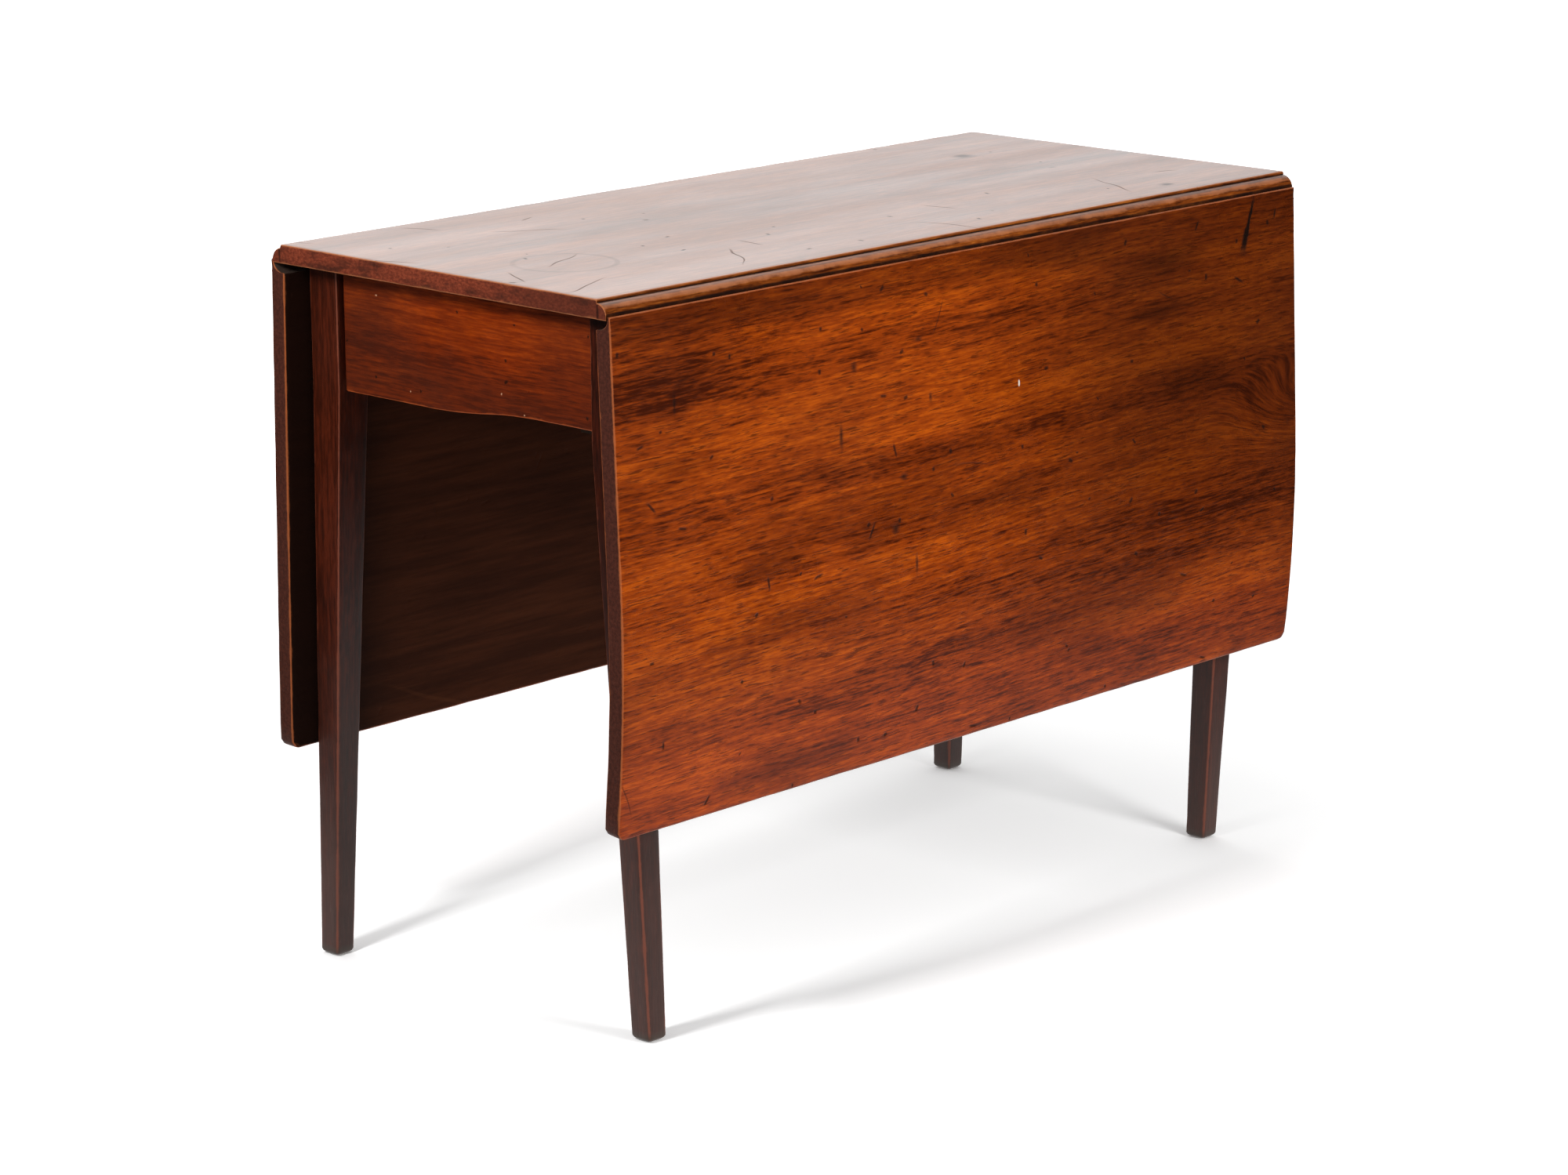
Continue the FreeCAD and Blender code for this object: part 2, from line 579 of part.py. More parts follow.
def fly_rail(side, tools):
    """Swinging half of the wooden knuckle, tenoned into the swing leg."""
    name = f"{side}_fly_rail"
    top = f"{UNDER} - size.swing_gap"
    low_y = f"{PIN_Y} - size.knuckle"
    leg_inner = "-(size.leg_side - size.leg_along)"
    beam = box(name + "_beam", (leg_inner, low_y, "size.rail_bottom"),
               ("-size.knuckle_x + size.knuckle", "size.rail_face", top))
    tenon_y = f"{PIN_Y} - size.tenon_thick / 2"
    tenon = box(name + "_tenon", (f"{leg_inner} - size.tenon_deep", tenon_y, "size.tenon_low"),
                (f"{leg_inner} + 5", f"{tenon_y} + size.tenon_thick", "size.tenon_high"))
    bore = rod(name + "_bore", "size.pin_radius + size.pin_play", "size.height", "-size.knuckle_x", PIN_Y, "0")
    shaped = cut(name + "_shaped", join(name + "_whole", [beam, tenon]), knuckle_tools(name, 1, False) + [bore])
    return keep(cut(name, turned(name + "_set", shaped, side_turn(side)), tools), name)


def knuckle_pin(side):
    name = f"{side}_knuckle_pin"
    pin = rod(name + "_rod", "size.pin_radius", f"{UNDER} - size.rail_bottom", "-size.knuckle_x", PIN_Y,
              "size.rail_bottom")
    whole = doc.addObject("Part::Compound", name)
    whole.Links = [pin]
    set_place(whole, turn=side_turn(side))
    keep(whole, name)


RAIL_SCREWS_X = (40.0, 200.0, 380.0)
RAIL_SCREWS_Z = (608.0, 673.0)


def rail_screws(side):
    """Screws through each inner rail into the hinge rail."""
    places = []
    for x in RAIL_SCREWS_X:
        for z in RAIL_SCREWS_Z:
            point = side_point(side, x, value("size.inner_rail_face - size.inner_rail_thick"), z)
            places.append((point, side_point(side, 0, 1, 0), value("size.rail_screw_long")))
    return fasteners(f"{side}_rail_screws", places)


def cross_brace(label, place, screws):
    """Flat brace across the frame, lapped into the top edges of both inner rails."""
    half_y = "size.inner_rail_face - size.inner_rail_thick + size.brace_lap"
    middle = f"{place} * size.brace_x"
    brace = box(label + "_blank", (f"{middle} - size.brace_wide / 2", f"-({half_y})", f"{UNDER} - size.brace_thick"),
                (f"{middle} + size.brace_wide / 2", half_y, UNDER))
    return keep(cut(label, brace, [screws]), label), brace


def top_screws():
    """Screws up through the cross braces into the centre board."""
    places = []
    for place in (-1, 1):
        for across in (-1, 1):
            point = FreeCAD.Vector(place * value("size.brace_x"), across * value("size.brace_screw_y"),
                                   value(f"{UNDER} - size.brace_thick"))
            places.append((point, FreeCAD.Vector(0, 0, 1), value("size.top_screw_long")))
    return fasteners("top_fixing_screws", places)


def corner_blocks():
    """Rubbed glue blocks in the four inner corners of the frame, under the centre board."""
    reach_x = "(size.apron_face - size.apron_thick)"
    reach_y = "(size.inner_rail_face - size.inner_rail_thick)"
    blocks = []
    for index, (sx, sy) in enumerate(((-1, -1), (1, -1), (-1, 1), (1, 1))):
        ends_x = sorted((f"{sx} * {reach_x}", f"{sx} * ({reach_x} - size.block_side)"), key=value)
        ends_y = sorted((f"{sy} * {reach_y}", f"{sy} * ({reach_y} - size.block_side)"), key=value)
        blocks.append(box(f"corner_block_{index}", (ends_x[0], ends_y[0], f"{UNDER} - size.block_tall"),
                          (ends_x[1], ends_y[1], UNDER)))
    whole = doc.addObject("Part::Compound", "corner_blocks")
    whole.Links = blocks
    keep(whole, "corner_glue_blocks")


# ---------------------------------------------------------------- the table, put together
board_screws = top_screws()
left_brace, left_brace_blank = cross_brace("left_cross_brace", -1, board_screws)
right_brace, right_brace_blank = cross_brace("right_cross_brace", 1, board_screws)
pegs = frame_pegs()
rails = {}
top_tools = [board_screws]
for side in ("rear", "front"):
    to_top, to_leaf = hinge_screws(side)
    hinge_set(side, to_top, to_leaf)
    top_tools += hinge_recesses(side) + [to_top]
    leaf_board(side, side == "front", to_leaf)
    fixing = rail_screws(side)
    rails[side] = inner_rail(side, [left_brace_blank, right_brace_blank, fixing])
    rails[side + "_hinge"] = hinge_rail(side, [fixing, pegs])
    knuckle_pin(side)
    gate = gate_pegs(side)
    fly = fly_rail(side, [gate])
    swing = leg_blank(f"{side}_swing_blank", "-", "size.swing_leg_outer", "size.swing_leg_across",
                      f"({UNDER} - size.swing_gap)", f"size.{side}_swing_foot_x", f"size.{side}_swing_foot_y",
                      side_turn(side))
    keep(cut(f"{side}_swing_leg", swing, [fly, gate]), f"{side}_swing_leg")
top_board(top_tools)
corner_blocks()
stub_rails = [rails["rear"], rails["front"]]
aprons = {
    "front": end_apron("rear", "left_end_apron", stub_rails),
    "rear": end_apron("front", "right_end_apron", stub_rails),
}
for side, label in (("rear", "rear_right_leg"), ("front", "front_left_leg")):
    blank = leg_blank(label + "_blank", "", "size.fixed_leg_outer", "size.fixed_leg_across", UNDER,
                      f"size.{side}_fixed_foot_x", f"size.{side}_fixed_foot_y", side_turn(side))
    keep(cut(label, blank, [rails[side + "_hinge"], aprons[side], pegs]), label)
doc.recompute()

for item in doc.Objects:
    if {"Invalid", "Error"} & set(item.State):
        raise RuntimeError(f"{item.Label} did not compute: {item.State}")
for item in subparts:
    if item.Shape.isNull() or not item.Shape.isValid() or item.Shape.Volume <= 0:
        raise RuntimeError(f"{item.Label} has no valid shape")
if len({item.Label for item in subparts}) != len(subparts):
    raise RuntimeError("two sub-parts share a label")

os.makedirs("parts", exist_ok=True)
for item in subparts:
    item.Shape.exportStep(f"parts/{item.Label}.step")
print(len(subparts), "sub-parts written")
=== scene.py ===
import json
import math

import bmesh
import bpy
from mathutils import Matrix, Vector, noise


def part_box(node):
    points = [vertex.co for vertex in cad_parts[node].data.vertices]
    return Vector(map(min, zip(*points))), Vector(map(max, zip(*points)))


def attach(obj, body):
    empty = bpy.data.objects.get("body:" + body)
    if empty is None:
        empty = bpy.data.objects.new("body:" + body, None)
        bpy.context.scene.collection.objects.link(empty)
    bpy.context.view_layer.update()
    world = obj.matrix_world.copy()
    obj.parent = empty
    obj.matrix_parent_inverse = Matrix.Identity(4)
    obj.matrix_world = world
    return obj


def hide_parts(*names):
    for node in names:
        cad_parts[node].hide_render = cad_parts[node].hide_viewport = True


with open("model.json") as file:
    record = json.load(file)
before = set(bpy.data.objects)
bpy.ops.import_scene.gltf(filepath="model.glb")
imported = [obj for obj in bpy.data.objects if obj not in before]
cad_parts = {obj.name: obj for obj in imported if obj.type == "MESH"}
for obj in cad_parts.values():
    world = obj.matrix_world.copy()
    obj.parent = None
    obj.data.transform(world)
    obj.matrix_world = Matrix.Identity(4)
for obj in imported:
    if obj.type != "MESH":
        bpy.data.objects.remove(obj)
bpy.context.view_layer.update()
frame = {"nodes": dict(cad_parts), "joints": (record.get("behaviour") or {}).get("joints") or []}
joints = {joint["name"]: joint for joint in frame["joints"]}

# ---------------------------------------------------------------- legs
# Four solid mahogany legs, square beside the rails and tapered below them to a small foot.
# Two are fixed to the frame, two are on the swinging rails. Arrises are rubbed through to
# bare red wood near the floor, and the feet are bruised round.
RAIL_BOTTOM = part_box("left_end_apron")[0].z
LEG_ALONG, FOOT_ALONG, FOOT_ACROSS = 0.038, 0.023, 0.025
FOOT_ROUNDING = 0.004
SHARP_ANGLE = math.radians(42)


def eased(low, high, ease, count):
    """Stations along one side of a ring: close together by the arrises, even between them."""
    near = ease + 0.005
    inner = [low + near + (high - low - 2 * near) * i / count for i in range(count + 1)]
    return [(low + ease, 0.5)] + [(place, 0.0) for place in inner] + [(high - ease, 0.5)]


def ring(a, b, ease, along, across, rub=0.0):
    """A rectangle with eased corners, as points (a, b, wear), anticlockwise.

    Wear runs from 1, an exposed arris, to -1, a crease darkened with painted shade.
    """
    ease = min(ease, (b[1] - b[0]) * 0.35, (a[1] - a[0]) * 0.35)
    sides = ((a, b[0], along), (b, a[1], across), (a, b[1], along), (b, a[0], across))
    corners = ((a[1], b[0]), (a[1], b[1]), (a[0], b[1]), (a[0], b[0]))
    points = []
    for turn, (span, fixed, count) in enumerate(sides):
        if span[1] - span[0] > 0.024:
            stations = eased(span[0], span[1], ease, count)
        else:
            gap = (span[1] - span[0] - 2 * ease) / (count + 2)
            near = span[0] + ease
            stations = [(near + gap * i, 0.5 if i in (0, count + 2) else 0.1) for i in range(count + 3)]
        if turn >= 2:
            stations = stations[::-1]
        for place, wear in stations:
            if turn % 2 == 0:
                points.append((place, fixed, rub if rub < 0 else max(wear, rub)))
            else:
                points.append((fixed, place, max(-0.5, rub) if rub < 0 else wear))
        corner = corners[turn]
        centre = (corner[0] + (-ease if corner[0] == a[1] else ease),
                  corner[1] + (-ease if corner[1] == b[1] else ease))
        for step in (1, 2):
            angle = math.radians(-90 + 90 * turn + 30 * step)
            points.append((centre[0] + ease * math.cos(angle), centre[1] + ease * math.sin(angle), 1.0))
    return points


def build(name, rings, place, dents=0.0003, ripple=0.0, seed=0.0):
    """A closed mesh through a row of rings. place turns (a, b, station) into the row frame.

    dents pulls worn arrises in by an uneven amount and ripple lets flat faces wander a little,
    but never so far that one ring crosses the next. fold pairs the two long sides of a ring,
    so that the closing faces run straight across.
    """
    mesh = bpy.data.meshes.new(name)
    bm = bmesh.new()
    worn = bm.verts.layers.float.new("wear")
    loops = []
    for station, points in rings:
        loop = []
        for a, b, wear in points:
            vert = bm.verts.new(place(a, b, station))
            vert[worn] = wear
            loop.append(vert)
        loops.append(loop)
    size = len(loops[0])
    for lower, upper in zip(loops, loops[1:]):
        for i in range(size):
            j = (i + 1) % size
            bm.faces.new((lower[i], lower[j], upper[j], upper[i]))
    flat = [a for a, b, wear in rings[0][1]]
    fold = min(range(size), key=lambda k: sum(abs(flat[i] - flat[(k - i) % size]) for i in range(size)))
    start = (fold + 1) // 2
    for loop in (loops[0], loops[-1]):
        for i in range(start, start + size // 2):
            corners = [loop[k % size] for k in (i, i + 1, fold - i - 1, fold - i)]
            corners = list(dict.fromkeys(corners))
            if len(corners) > 2:
                bm.faces.new(corners)
    bmesh.ops.recalc_face_normals(bm, faces=bm.faces)
    bm.normal_update()
    moves = []
    for vert in bm.verts:
        spot = vert.co * 38.0 + Vector((seed, seed, seed))
        chip = max(0.0, noise.noise(spot) + 0.15) + 1.6 * max(0.0, noise.noise(spot * 2.7) - 0.35)
        sway = 0.5 + 0.5 * noise.noise(vert.co * 7.0 + Vector((seed, 0.0, 3.0)))
        depth = dents * max(0.0, vert[worn]) * chip + ripple * sway
        room = 0.35 * min(edge.calc_length() for edge in vert.link_edges)
        moves.append((vert, vert.normal * min(depth, room)))
    for vert, move in moves:
        vert.co -= move
    bm.to_mesh(mesh)
    bm.free()
    mesh.shade_smooth()
    mesh.set_sharp_from_angle(angle=SHARP_ANGLE)
    piece = bpy.data.objects.new(name, mesh)
    bpy.context.scene.collection.objects.link(piece)
    return piece


def node(tree, kind, inputs=None, **settings):
    """Adds a shader node. An input given as a socket is linked, anything else is set."""
    made = tree.nodes.new("ShaderNode" + kind)
    for key, value in settings.items():
        setattr(made, key, value)
    for key, value in (inputs or {}).items():
        socket = made.inputs[key]
        if isinstance(value, bpy.types.NodeSocket):
            tree.links.new(value, socket)
        else:
            socket.default_value = value
    return made


def maths(tree, operation, first, second=0.0, third=0.0, clamp=False):
    made = node(tree, "Math", {0: first, 1: second, 2: third}, operation=operation, use_clamp=clamp)
    return made.outputs[0]


def times(tree, first, second, clamp=False):
    return maths(tree, "MULTIPLY", first, second, clamp=clamp)


def vectors(tree, operation, first, second):
    return node(tree, "VectorMath", {0: first, 1: second}, operation=operation)


def split(tree, vector):
    """The X, Y and Z of a vector."""
    return node(tree, "SeparateXYZ", {0: vector}).outputs


def blend(tree, factor, first, second, mode="MIX"):
    """Mixes two colours."""
    return node(tree, "Mix", {0: factor, 6: first, 7: second}, data_type="RGBA", blend_type=mode).outputs[2]


def between(tree, value, low, high, to_low=0.0, to_high=1.0):
    """Maps a range smoothly and clamps it."""
    made = node(tree, "MapRange", {"Value": value, "From Min": low, "From Max": high, "To Min": to_low,
                                   "To Max": to_high}, interpolation_type="SMOOTHSTEP")
    return made.outputs["Result"]


def clouds(tree, vector, scale, detail, rough):
    """Noise of one scale all ways."""
    made = node(tree, "TexNoise", {"Vector": vector, "Scale": scale, "Detail": detail, "Roughness": rough})
    return made.outputs["Fac"]


def stretched(tree, vector, scale, detail=3.0, rough=0.55, distortion=0.0, offset=(0.0, 0.0, 0.0)):
    """Noise whose scale differs along and across the grain."""
    moved = node(tree, "Mapping", {"Vector": vector, "Scale": scale, "Location": offset})
    made = node(tree, "TexNoise", {"Vector": moved.outputs[0], "Scale": 1.0, "Detail": detail,
                                   "Roughness": rough, "Distortion": distortion})
    return made.outputs["Fac"]


def new_group(name, inputs, outputs):
    """An empty shader node group with named sockets."""
    tree = bpy.data.node_groups.new(name, "ShaderNodeTree")
    for label, kind, value in inputs:
        socket = tree.interface.new_socket(label, in_out="INPUT", socket_type="NodeSocket" + kind)
        if value is not None:
            socket.default_value = value
    for label, kind in outputs:
        tree.interface.new_socket(label, in_out="OUTPUT", socket_type="NodeSocket" + kind)
    return tree, tree.nodes.new("NodeGroupInput").outputs, tree.nodes.new("NodeGroupOutput")


def use_group(tree, group, inputs):
    return node(tree, "Group", inputs, node_tree=group).outputs


def mahogany_figure():
    """Mahogany: smoky patches, streaks, fine lines and short open pores along X."""
    tree, given, out = new_group(
        "mahogany figure",
        (("Vector", "Vector", None), ("Dark", "Color", (0.05, 0.012, 0.004, 1)),
         ("Middle", "Color", (0.2, 0.04, 0.008, 1)), ("Light", "Color", (0.4, 0.1, 0.01, 1)),
         ("Smoke", "Float", 0.6), ("Pores", "Float", 0.6)),
        (("Colour", "Color"), ("Height", "Float")))
    drift = node(tree, "TexNoise", {"Vector": given["Vector"], "Scale": 3.0, "Detail": 3.0})
    centred = vectors(tree, "SUBTRACT", drift.outputs["Color"], (0.5, 0.5, 0.5))
    swing = vectors(tree, "MULTIPLY", centred.outputs[0], (0.05, 0.011, 0.011))
    grain = node(tree, "VectorMath", {0: given["Vector"], 1: swing.outputs[0]}).outputs[0]
    band = stretched(tree, grain, (1.5, 20.0, 20.0), 4.0, 0.6)
    streak = stretched(tree, grain, (7.0, 180.0, 180.0), 3.0, 0.7)
    line = stretched(tree, grain, (22.0, 380.0, 380.0), 2.0, 0.7)
    mottle = stretched(tree, grain, (75.0, 230.0, 230.0), 2.0, 0.6)
    pore = stretched(tree, grain, (45.0, 620.0, 620.0), 2.0, 0.6)
    patch = stretched(tree, grain, (4.2, 13.0, 13.0), 5.0, 0.62, offset=(3.1, 0.4, 1.7))
    shade = maths(tree, "MULTIPLY_ADD", streak, 0.14, times(tree, band, 0.34))
    shade = maths(tree, "MULTIPLY_ADD", line, 0.33, shade)
    shade = maths(tree, "MULTIPLY_ADD", mottle, 0.13, shade)
    shade = maths(tree, "MULTIPLY_ADD", pore, 0.18, shade)
    warm = blend(tree, between(tree, shade, 0.45, 0.57), given["Dark"], given["Middle"])
    warm = blend(tree, between(tree, shade, 0.55, 0.67), warm, given["Light"])
    smoke = times(tree, between(tree, patch, 0.50, 0.68), given["Smoke"])
    warm = blend(tree, smoke, warm, blend(tree, 0.62, warm, given["Dark"]))
    marks = times(tree, between(tree, pore, 0.54, 0.66), given["Pores"], clamp=True)
    colour = blend(tree, marks, warm, blend(tree, 0.85, warm, given["Dark"]))
    height = maths(tree, "SUBTRACT", times(tree, line, 0.4), marks)
    tree.links.new(colour, out.inputs["Colour"])
    tree.links.new(height, out.inputs["Height"])
    return tree


def worn_and_highlit_arris():
    """Polish worn through along arrises in broken patches, its paler colour partly a painted highlight, and
    painted shade in the creases.
    """
    tree, given, out = new_group(
        "rubbed arris",
        (("Colour", "Color", None), ("Bare", "Color", (0.4, 0.15, 0.06, 1)), ("Amount", "Float", 0.6),
         ("Vector", "Vector", None)),
        (("Colour", "Color"),))
    wear = node(tree, "Attribute", attribute_name="wear").outputs["Fac"]
    broken = clouds(tree, given["Vector"], 34.0, 5.0, 0.7)
    level = maths(tree, "MULTIPLY_ADD", broken, 1.3, times(tree, wear, 0.9))
    # The paler colour along arrises is partly worn wood and partly a painted highlight.
    mask = times(tree, between(tree, level, 1.05, 1.5), given["Amount"])
    mask = times(tree, mask, between(tree, wear, 0.05, 0.6))
    # Painted shade: creases with negative wear are darkened nearly to black.
    painted_crease_shade = between(tree, wear, -0.12, -0.7)
    painted_crease_shade = times(tree, painted_crease_shade, between(tree, broken, 0.25, 0.6, 0.6, 0.97))
    worn_and_highlit = blend(tree, mask, given["Colour"], given["Bare"])
    tree.links.new(blend(tree, painted_crease_shade, worn_and_highlit, (0.010, 0.005, 0.004, 1)), out.inputs["Colour"])
    return tree


def new_material(name):
    material = bpy.data.materials.new(name)
    material.use_nodes = True
    tree = material.node_tree
    surface = tree.nodes["Principled BSDF"]
    place = tree.nodes.new("ShaderNodeTexCoord").outputs
    return material, tree, surface, place


def bump(tree, surface, strength, distance, height):
    made = node(tree, "Bump", {"Strength": strength, "Distance": distance, "Height": height})
    tree.links.new(made.outputs[0], surface.inputs["Normal"])


def dress(piece, material):
    piece.data.materials.clear()
    piece.data.materials.append(material)


FIGURE = mahogany_figure()
WORN_AND_HIGHLIT = worn_and_highlit_arris()


def figured(tree, vector, dark, middle, light, smoke, pores):
    """Mahogany in three colours, its grain along the vector's X."""
    return use_group(tree, FIGURE, {"Vector": vector, "Dark": dark, "Middle": middle, "Light": light,
                                    "Smoke": smoke, "Pores": pores})


def worn_through_and_highlit(tree, colour, bare_and_highlight, amount, vector):
    """A finish with its arrises worn through, the paler arris colour partly a painted highlight."""
    return use_group(tree, WORN_AND_HIGHLIT, {"Colour": colour, "Bare": bare_and_highlight, "Amount": amount,
                                    "Vector": vector})["Colour"]


def leg_finish():
    material, tree, surface, place = new_material("leg_polish")
    parts = split(tree, place["Object"])
    along = node(tree, "CombineXYZ", {"X": parts["Z"], "Y": parts["X"], "Z": parts["Y"]}).outputs[0]
    figure = figured(tree, along, (0.014, 0.0034, 0.0018, 1), (0.036, 0.0058, 0.0020, 1),
                     (0.080, 0.012, 0.0035, 1), 0.5, 0.5)
    grime = clouds(tree, place["Object"], 9.0, 6.0, 0.65)
    low_down = between(tree, parts["Z"], 0.42, 0.05)
    dusty = times(tree, low_down, between(tree, grime, 0.3, 0.75, 0.25, 0.75))
    colour = blend(tree, dusty, figure["Colour"], (0.085, 0.038, 0.029, 1))
    lines = stretched(tree, along, (22.0, 340.0, 340.0), 3.0, 0.7)
    pale = times(tree, between(tree, lines, 0.6, 0.78, 0.0, 0.3), low_down)
    colour = blend(tree, pale, colour, (0.19, 0.10, 0.08, 1))
    # The paler arris colour is partly worn wood and partly a painted highlight.
    worn_and_highlit = worn_through_and_highlit(tree, colour, (0.25, 0.062, 0.030, 1), 0.6, place["Object"])
    foot = between(tree, parts["Z"], 0.012, 0.002)
    colour = blend(tree, times(tree, foot, 0.7), worn_and_highlit, (0.05, 0.035, 0.022, 1))
    tree.links.new(colour, surface.inputs["Base Color"])
    tree.links.new(between(tree, grime, 0.3, 0.7, 0.28, 0.42), surface.inputs["Roughness"])
    bump(tree, surface, 0.3, 0.0005, maths(tree, "ADD", figure["Height"], grime))
    surface.inputs["Specular IOR Level"].default_value = 0.55
    return material


def leg_rings(top_z, head, foot):
    """Rings from the foot up. head and foot are ((x low, x high), (y low, y high))."""
    rings = []
    heights = [0.0, 0.0006, 0.0018, 0.004, 0.012] + [0.02 + 0.028 * i for i in range(20)]
    heights += [RAIL_BOTTOM + (top_z - RAIL_BOTTOM) * i / 5 for i in range(6)]
    for z in heights:
        part = min(1.0, z / RAIL_BOTTOM)
        spans = [tuple(f + (h - f) * part for f, h in zip(foot[axis], head[axis])) for axis in (0, 1)]
        inset = 0.0035 * (1 - z / FOOT_ROUNDING) ** 2 if z < FOOT_ROUNDING else 0.0
        spans = [(low + inset, high - inset) for low, high in spans]
        rub = 0.9 if z < FOOT_ROUNDING else 0.0
        ease = 0.0014 + 0.0012 * (1 - part)
        rings.append((z, ring(spans[0], spans[1], ease, 3, 3, rub)))
    return rings


def leg_span(reach, size, sign):
    """A leg's span behind its outer face, which stands at reach on the sign side."""
    return (sign * reach - size, sign * reach) if sign > 0 else (-reach, -reach + size)


leg_material = leg_finish()
FEET = {
    "front_left_leg": (-1, -1, 0.442, 0.2125, "frame"),
    "rear_right_leg": (1, 1, 0.452, 0.208, "frame"),
    "rear_swing_leg": (-1, 1, 0.4745, 0.2225, "rear_gate"),
    "front_swing_leg": (1, -1, 0.440, 0.194, "front_gate"),
}
for label, (sign_x, sign_y, foot_x, foot_y, body) in FEET.items():
    low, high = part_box(label)
    outer_y = 0.2075 if "swing" in label else 0.213
    depth_y = 0.039 if "swing" in label else 0.033
    outer_x = max(abs(low.x), abs(high.x))
    proud = 0.0003
    head = (leg_span(outer_x, LEG_ALONG, sign_x), leg_span(outer_y - proud, depth_y, sign_y))
    foot = (leg_span(foot_x, FOOT_ALONG, sign_x), leg_span(foot_y - proud, FOOT_ACROSS, sign_y))
    leg = build(label + "_post", leg_rings(high.z, head, foot), lambda a, b, z: (a, b, z), dents=0.0007,
                ripple=0.00025, seed=30.0 + 5 * sign_x + sign_y)
    dress(leg, leg_material)
    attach(leg, body)
    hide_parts(label)

# ---------------------------------------------------------------- end aprons
# Solid mahogany boards across each end. One end is tenoned into the fixed leg, the other is
# left free and rounded beside the swing leg. The lower edge lifts in a shallow curve.
RISE = 0.009
RISE_FROM, RISE_TO = 0.040, -0.110


def apron_bottom(y):
    """Height of the lower edge of the left apron: level, then two easy arcs up."""
    part = min(1.0, max(0.0, (RISE_FROM - y) / (RISE_FROM - RISE_TO)))
    return RAIL_BOTTOM + RISE * (2 * part ** 2 if part < 0.5 else 1 - 2 * (1 - part) ** 2)


def scattered_nicks():
    """Short dents and scratches at random places and angles on a flat face."""
    tree, given, out = new_group(
        "scattered nicks",
        (("Vector", "Vector", None), ("Scale", "Float", 9.0), ("Length", "Float", 0.2),
         ("Width", "Float", 0.02), ("Share", "Float", 0.4)),
        (("Mask", "Float"),))
    scaled = node(tree, "VectorMath", {0: given["Vector"], "Scale": given["Scale"]}, operation="SCALE")
    cells = node(tree, "TexVoronoi", {"Vector": scaled.outputs[0], "Scale": 1.0, "Randomness": 1.0},
                 voronoi_dimensions="2D")
    offset = vectors(tree, "SUBTRACT", scaled.outputs[0], cells.outputs["Position"]).outputs[0]
    parts = node(tree, "SeparateColor", {"Color": cells.outputs["Color"]}).outputs
    bent = node(tree, "TexNoise", {"Vector": scaled.outputs[0], "Scale": 1.3, "Detail": 1.0}).outputs["Fac"]
    angle = maths(tree, "MULTIPLY_ADD", bent, 1.6, times(tree, parts["Red"], 6.283))
    turned = node(tree, "VectorRotate", {"Vector": offset, "Angle": angle}, rotation_type="Z_AXIS")
    spot = split(tree, turned.outputs[0])
    reach = times(tree, given["Length"], maths(tree, "MULTIPLY_ADD", parts["Green"], 0.8, 0.2))
    ends = maths(tree, "DIVIDE", maths(tree, "ABSOLUTE", spot["X"]), reach)
    taper = between(tree, ends, 1.0, 0.3)
    slim = maths(tree, "DIVIDE", maths(tree, "ABSOLUTE", spot["Y"]), given["Width"])
    line = between(tree, slim, 1.0, 0.25)
    chosen = maths(tree, "LESS_THAN", parts["Blue"], given["Share"])
    mask = times(tree, times(tree, taper, line), chosen)
    tree.links.new(mask, out.inputs["Mask"])
    return tree


NICKS = scattered_nicks()


def nicked(tree, plane, scale, length, width, share):
    return use_group(tree, NICKS, {"Vector": plane, "Scale": scale, "Length": length, "Width": width,
                                   "Share": share})["Mask"]


def apron_finish():
    material, tree, surface, place = new_material("apron_polish")
    parts = split(tree, place["Object"])
    along = node(tree, "CombineXYZ", {"X": parts["Y"], "Y": parts["X"], "Z": parts["Z"]}).outputs[0]
    figure = figured(tree, along, (0.072, 0.0085, 0.0015, 1), (0.165, 0.0185, 0.0012, 1),
                     (0.280, 0.037, 0.0015, 1), 0.5, 0.35)
    grime = clouds(tree, place["Object"], 6.0, 6.0, 0.65)
    # Painted shade: the apron is darkened towards both ends and towards its lower edge, and random grime is
    # laid over that.
    edge = between(tree, maths(tree, "ABSOLUTE", parts["Y"]), 0.04, 0.15, 0.0, 0.6)
    edge = maths(tree, "MAXIMUM", edge, between(tree, parts["Z"], 0.65, 0.595, 0.0, 0.7))
    dirt_and_shade = maths(tree, "ADD", between(tree, grime, 0.45, 0.75, 0.0, 0.5), edge, clamp=True)
    dirt_and_shade_colour = blend(tree, 0.6, figure["Colour"], (0.03, 0.010, 0.006, 1))
    colour = blend(tree, dirt_and_shade, figure["Colour"], dirt_and_shade_colour)
    plane = node(tree, "CombineXYZ", {"X": parts["Y"], "Y": parts["Z"]}).outputs[0]
    nicks = nicked(tree, plane, 24.0, 0.10, 0.05, 0.4)
    colour = blend(tree, times(tree, nicks, 0.85), colour, (0.012, 0.005, 0.003, 1))
    flecks = nicked(tree, plane, 16.0, 0.03, 0.018, 0.25)
    colour = blend(tree, times(tree, flecks, 0.7), colour, (0.55, 0.30, 0.18, 1))
    # The paler arris colour is partly worn wood and partly a painted highlight.
    worn_and_highlit = worn_through_and_highlit(tree, colour, (0.42, 0.08, 0.015, 1), 0.75, place["Object"])
    tree.links.new(worn_and_highlit, surface.inputs["Base Color"])
    tree.links.new(between(tree, grime, 0.3, 0.7, 0.26, 0.4), surface.inputs["Roughness"])
    depth = maths(tree, "SUBTRACT", figure["Height"], times(tree, nicks, 2.0))
    bump(tree, surface, 0.35, 0.0006, depth)
    surface.inputs["Specular IOR Level"].default_value = 0.15
    return material


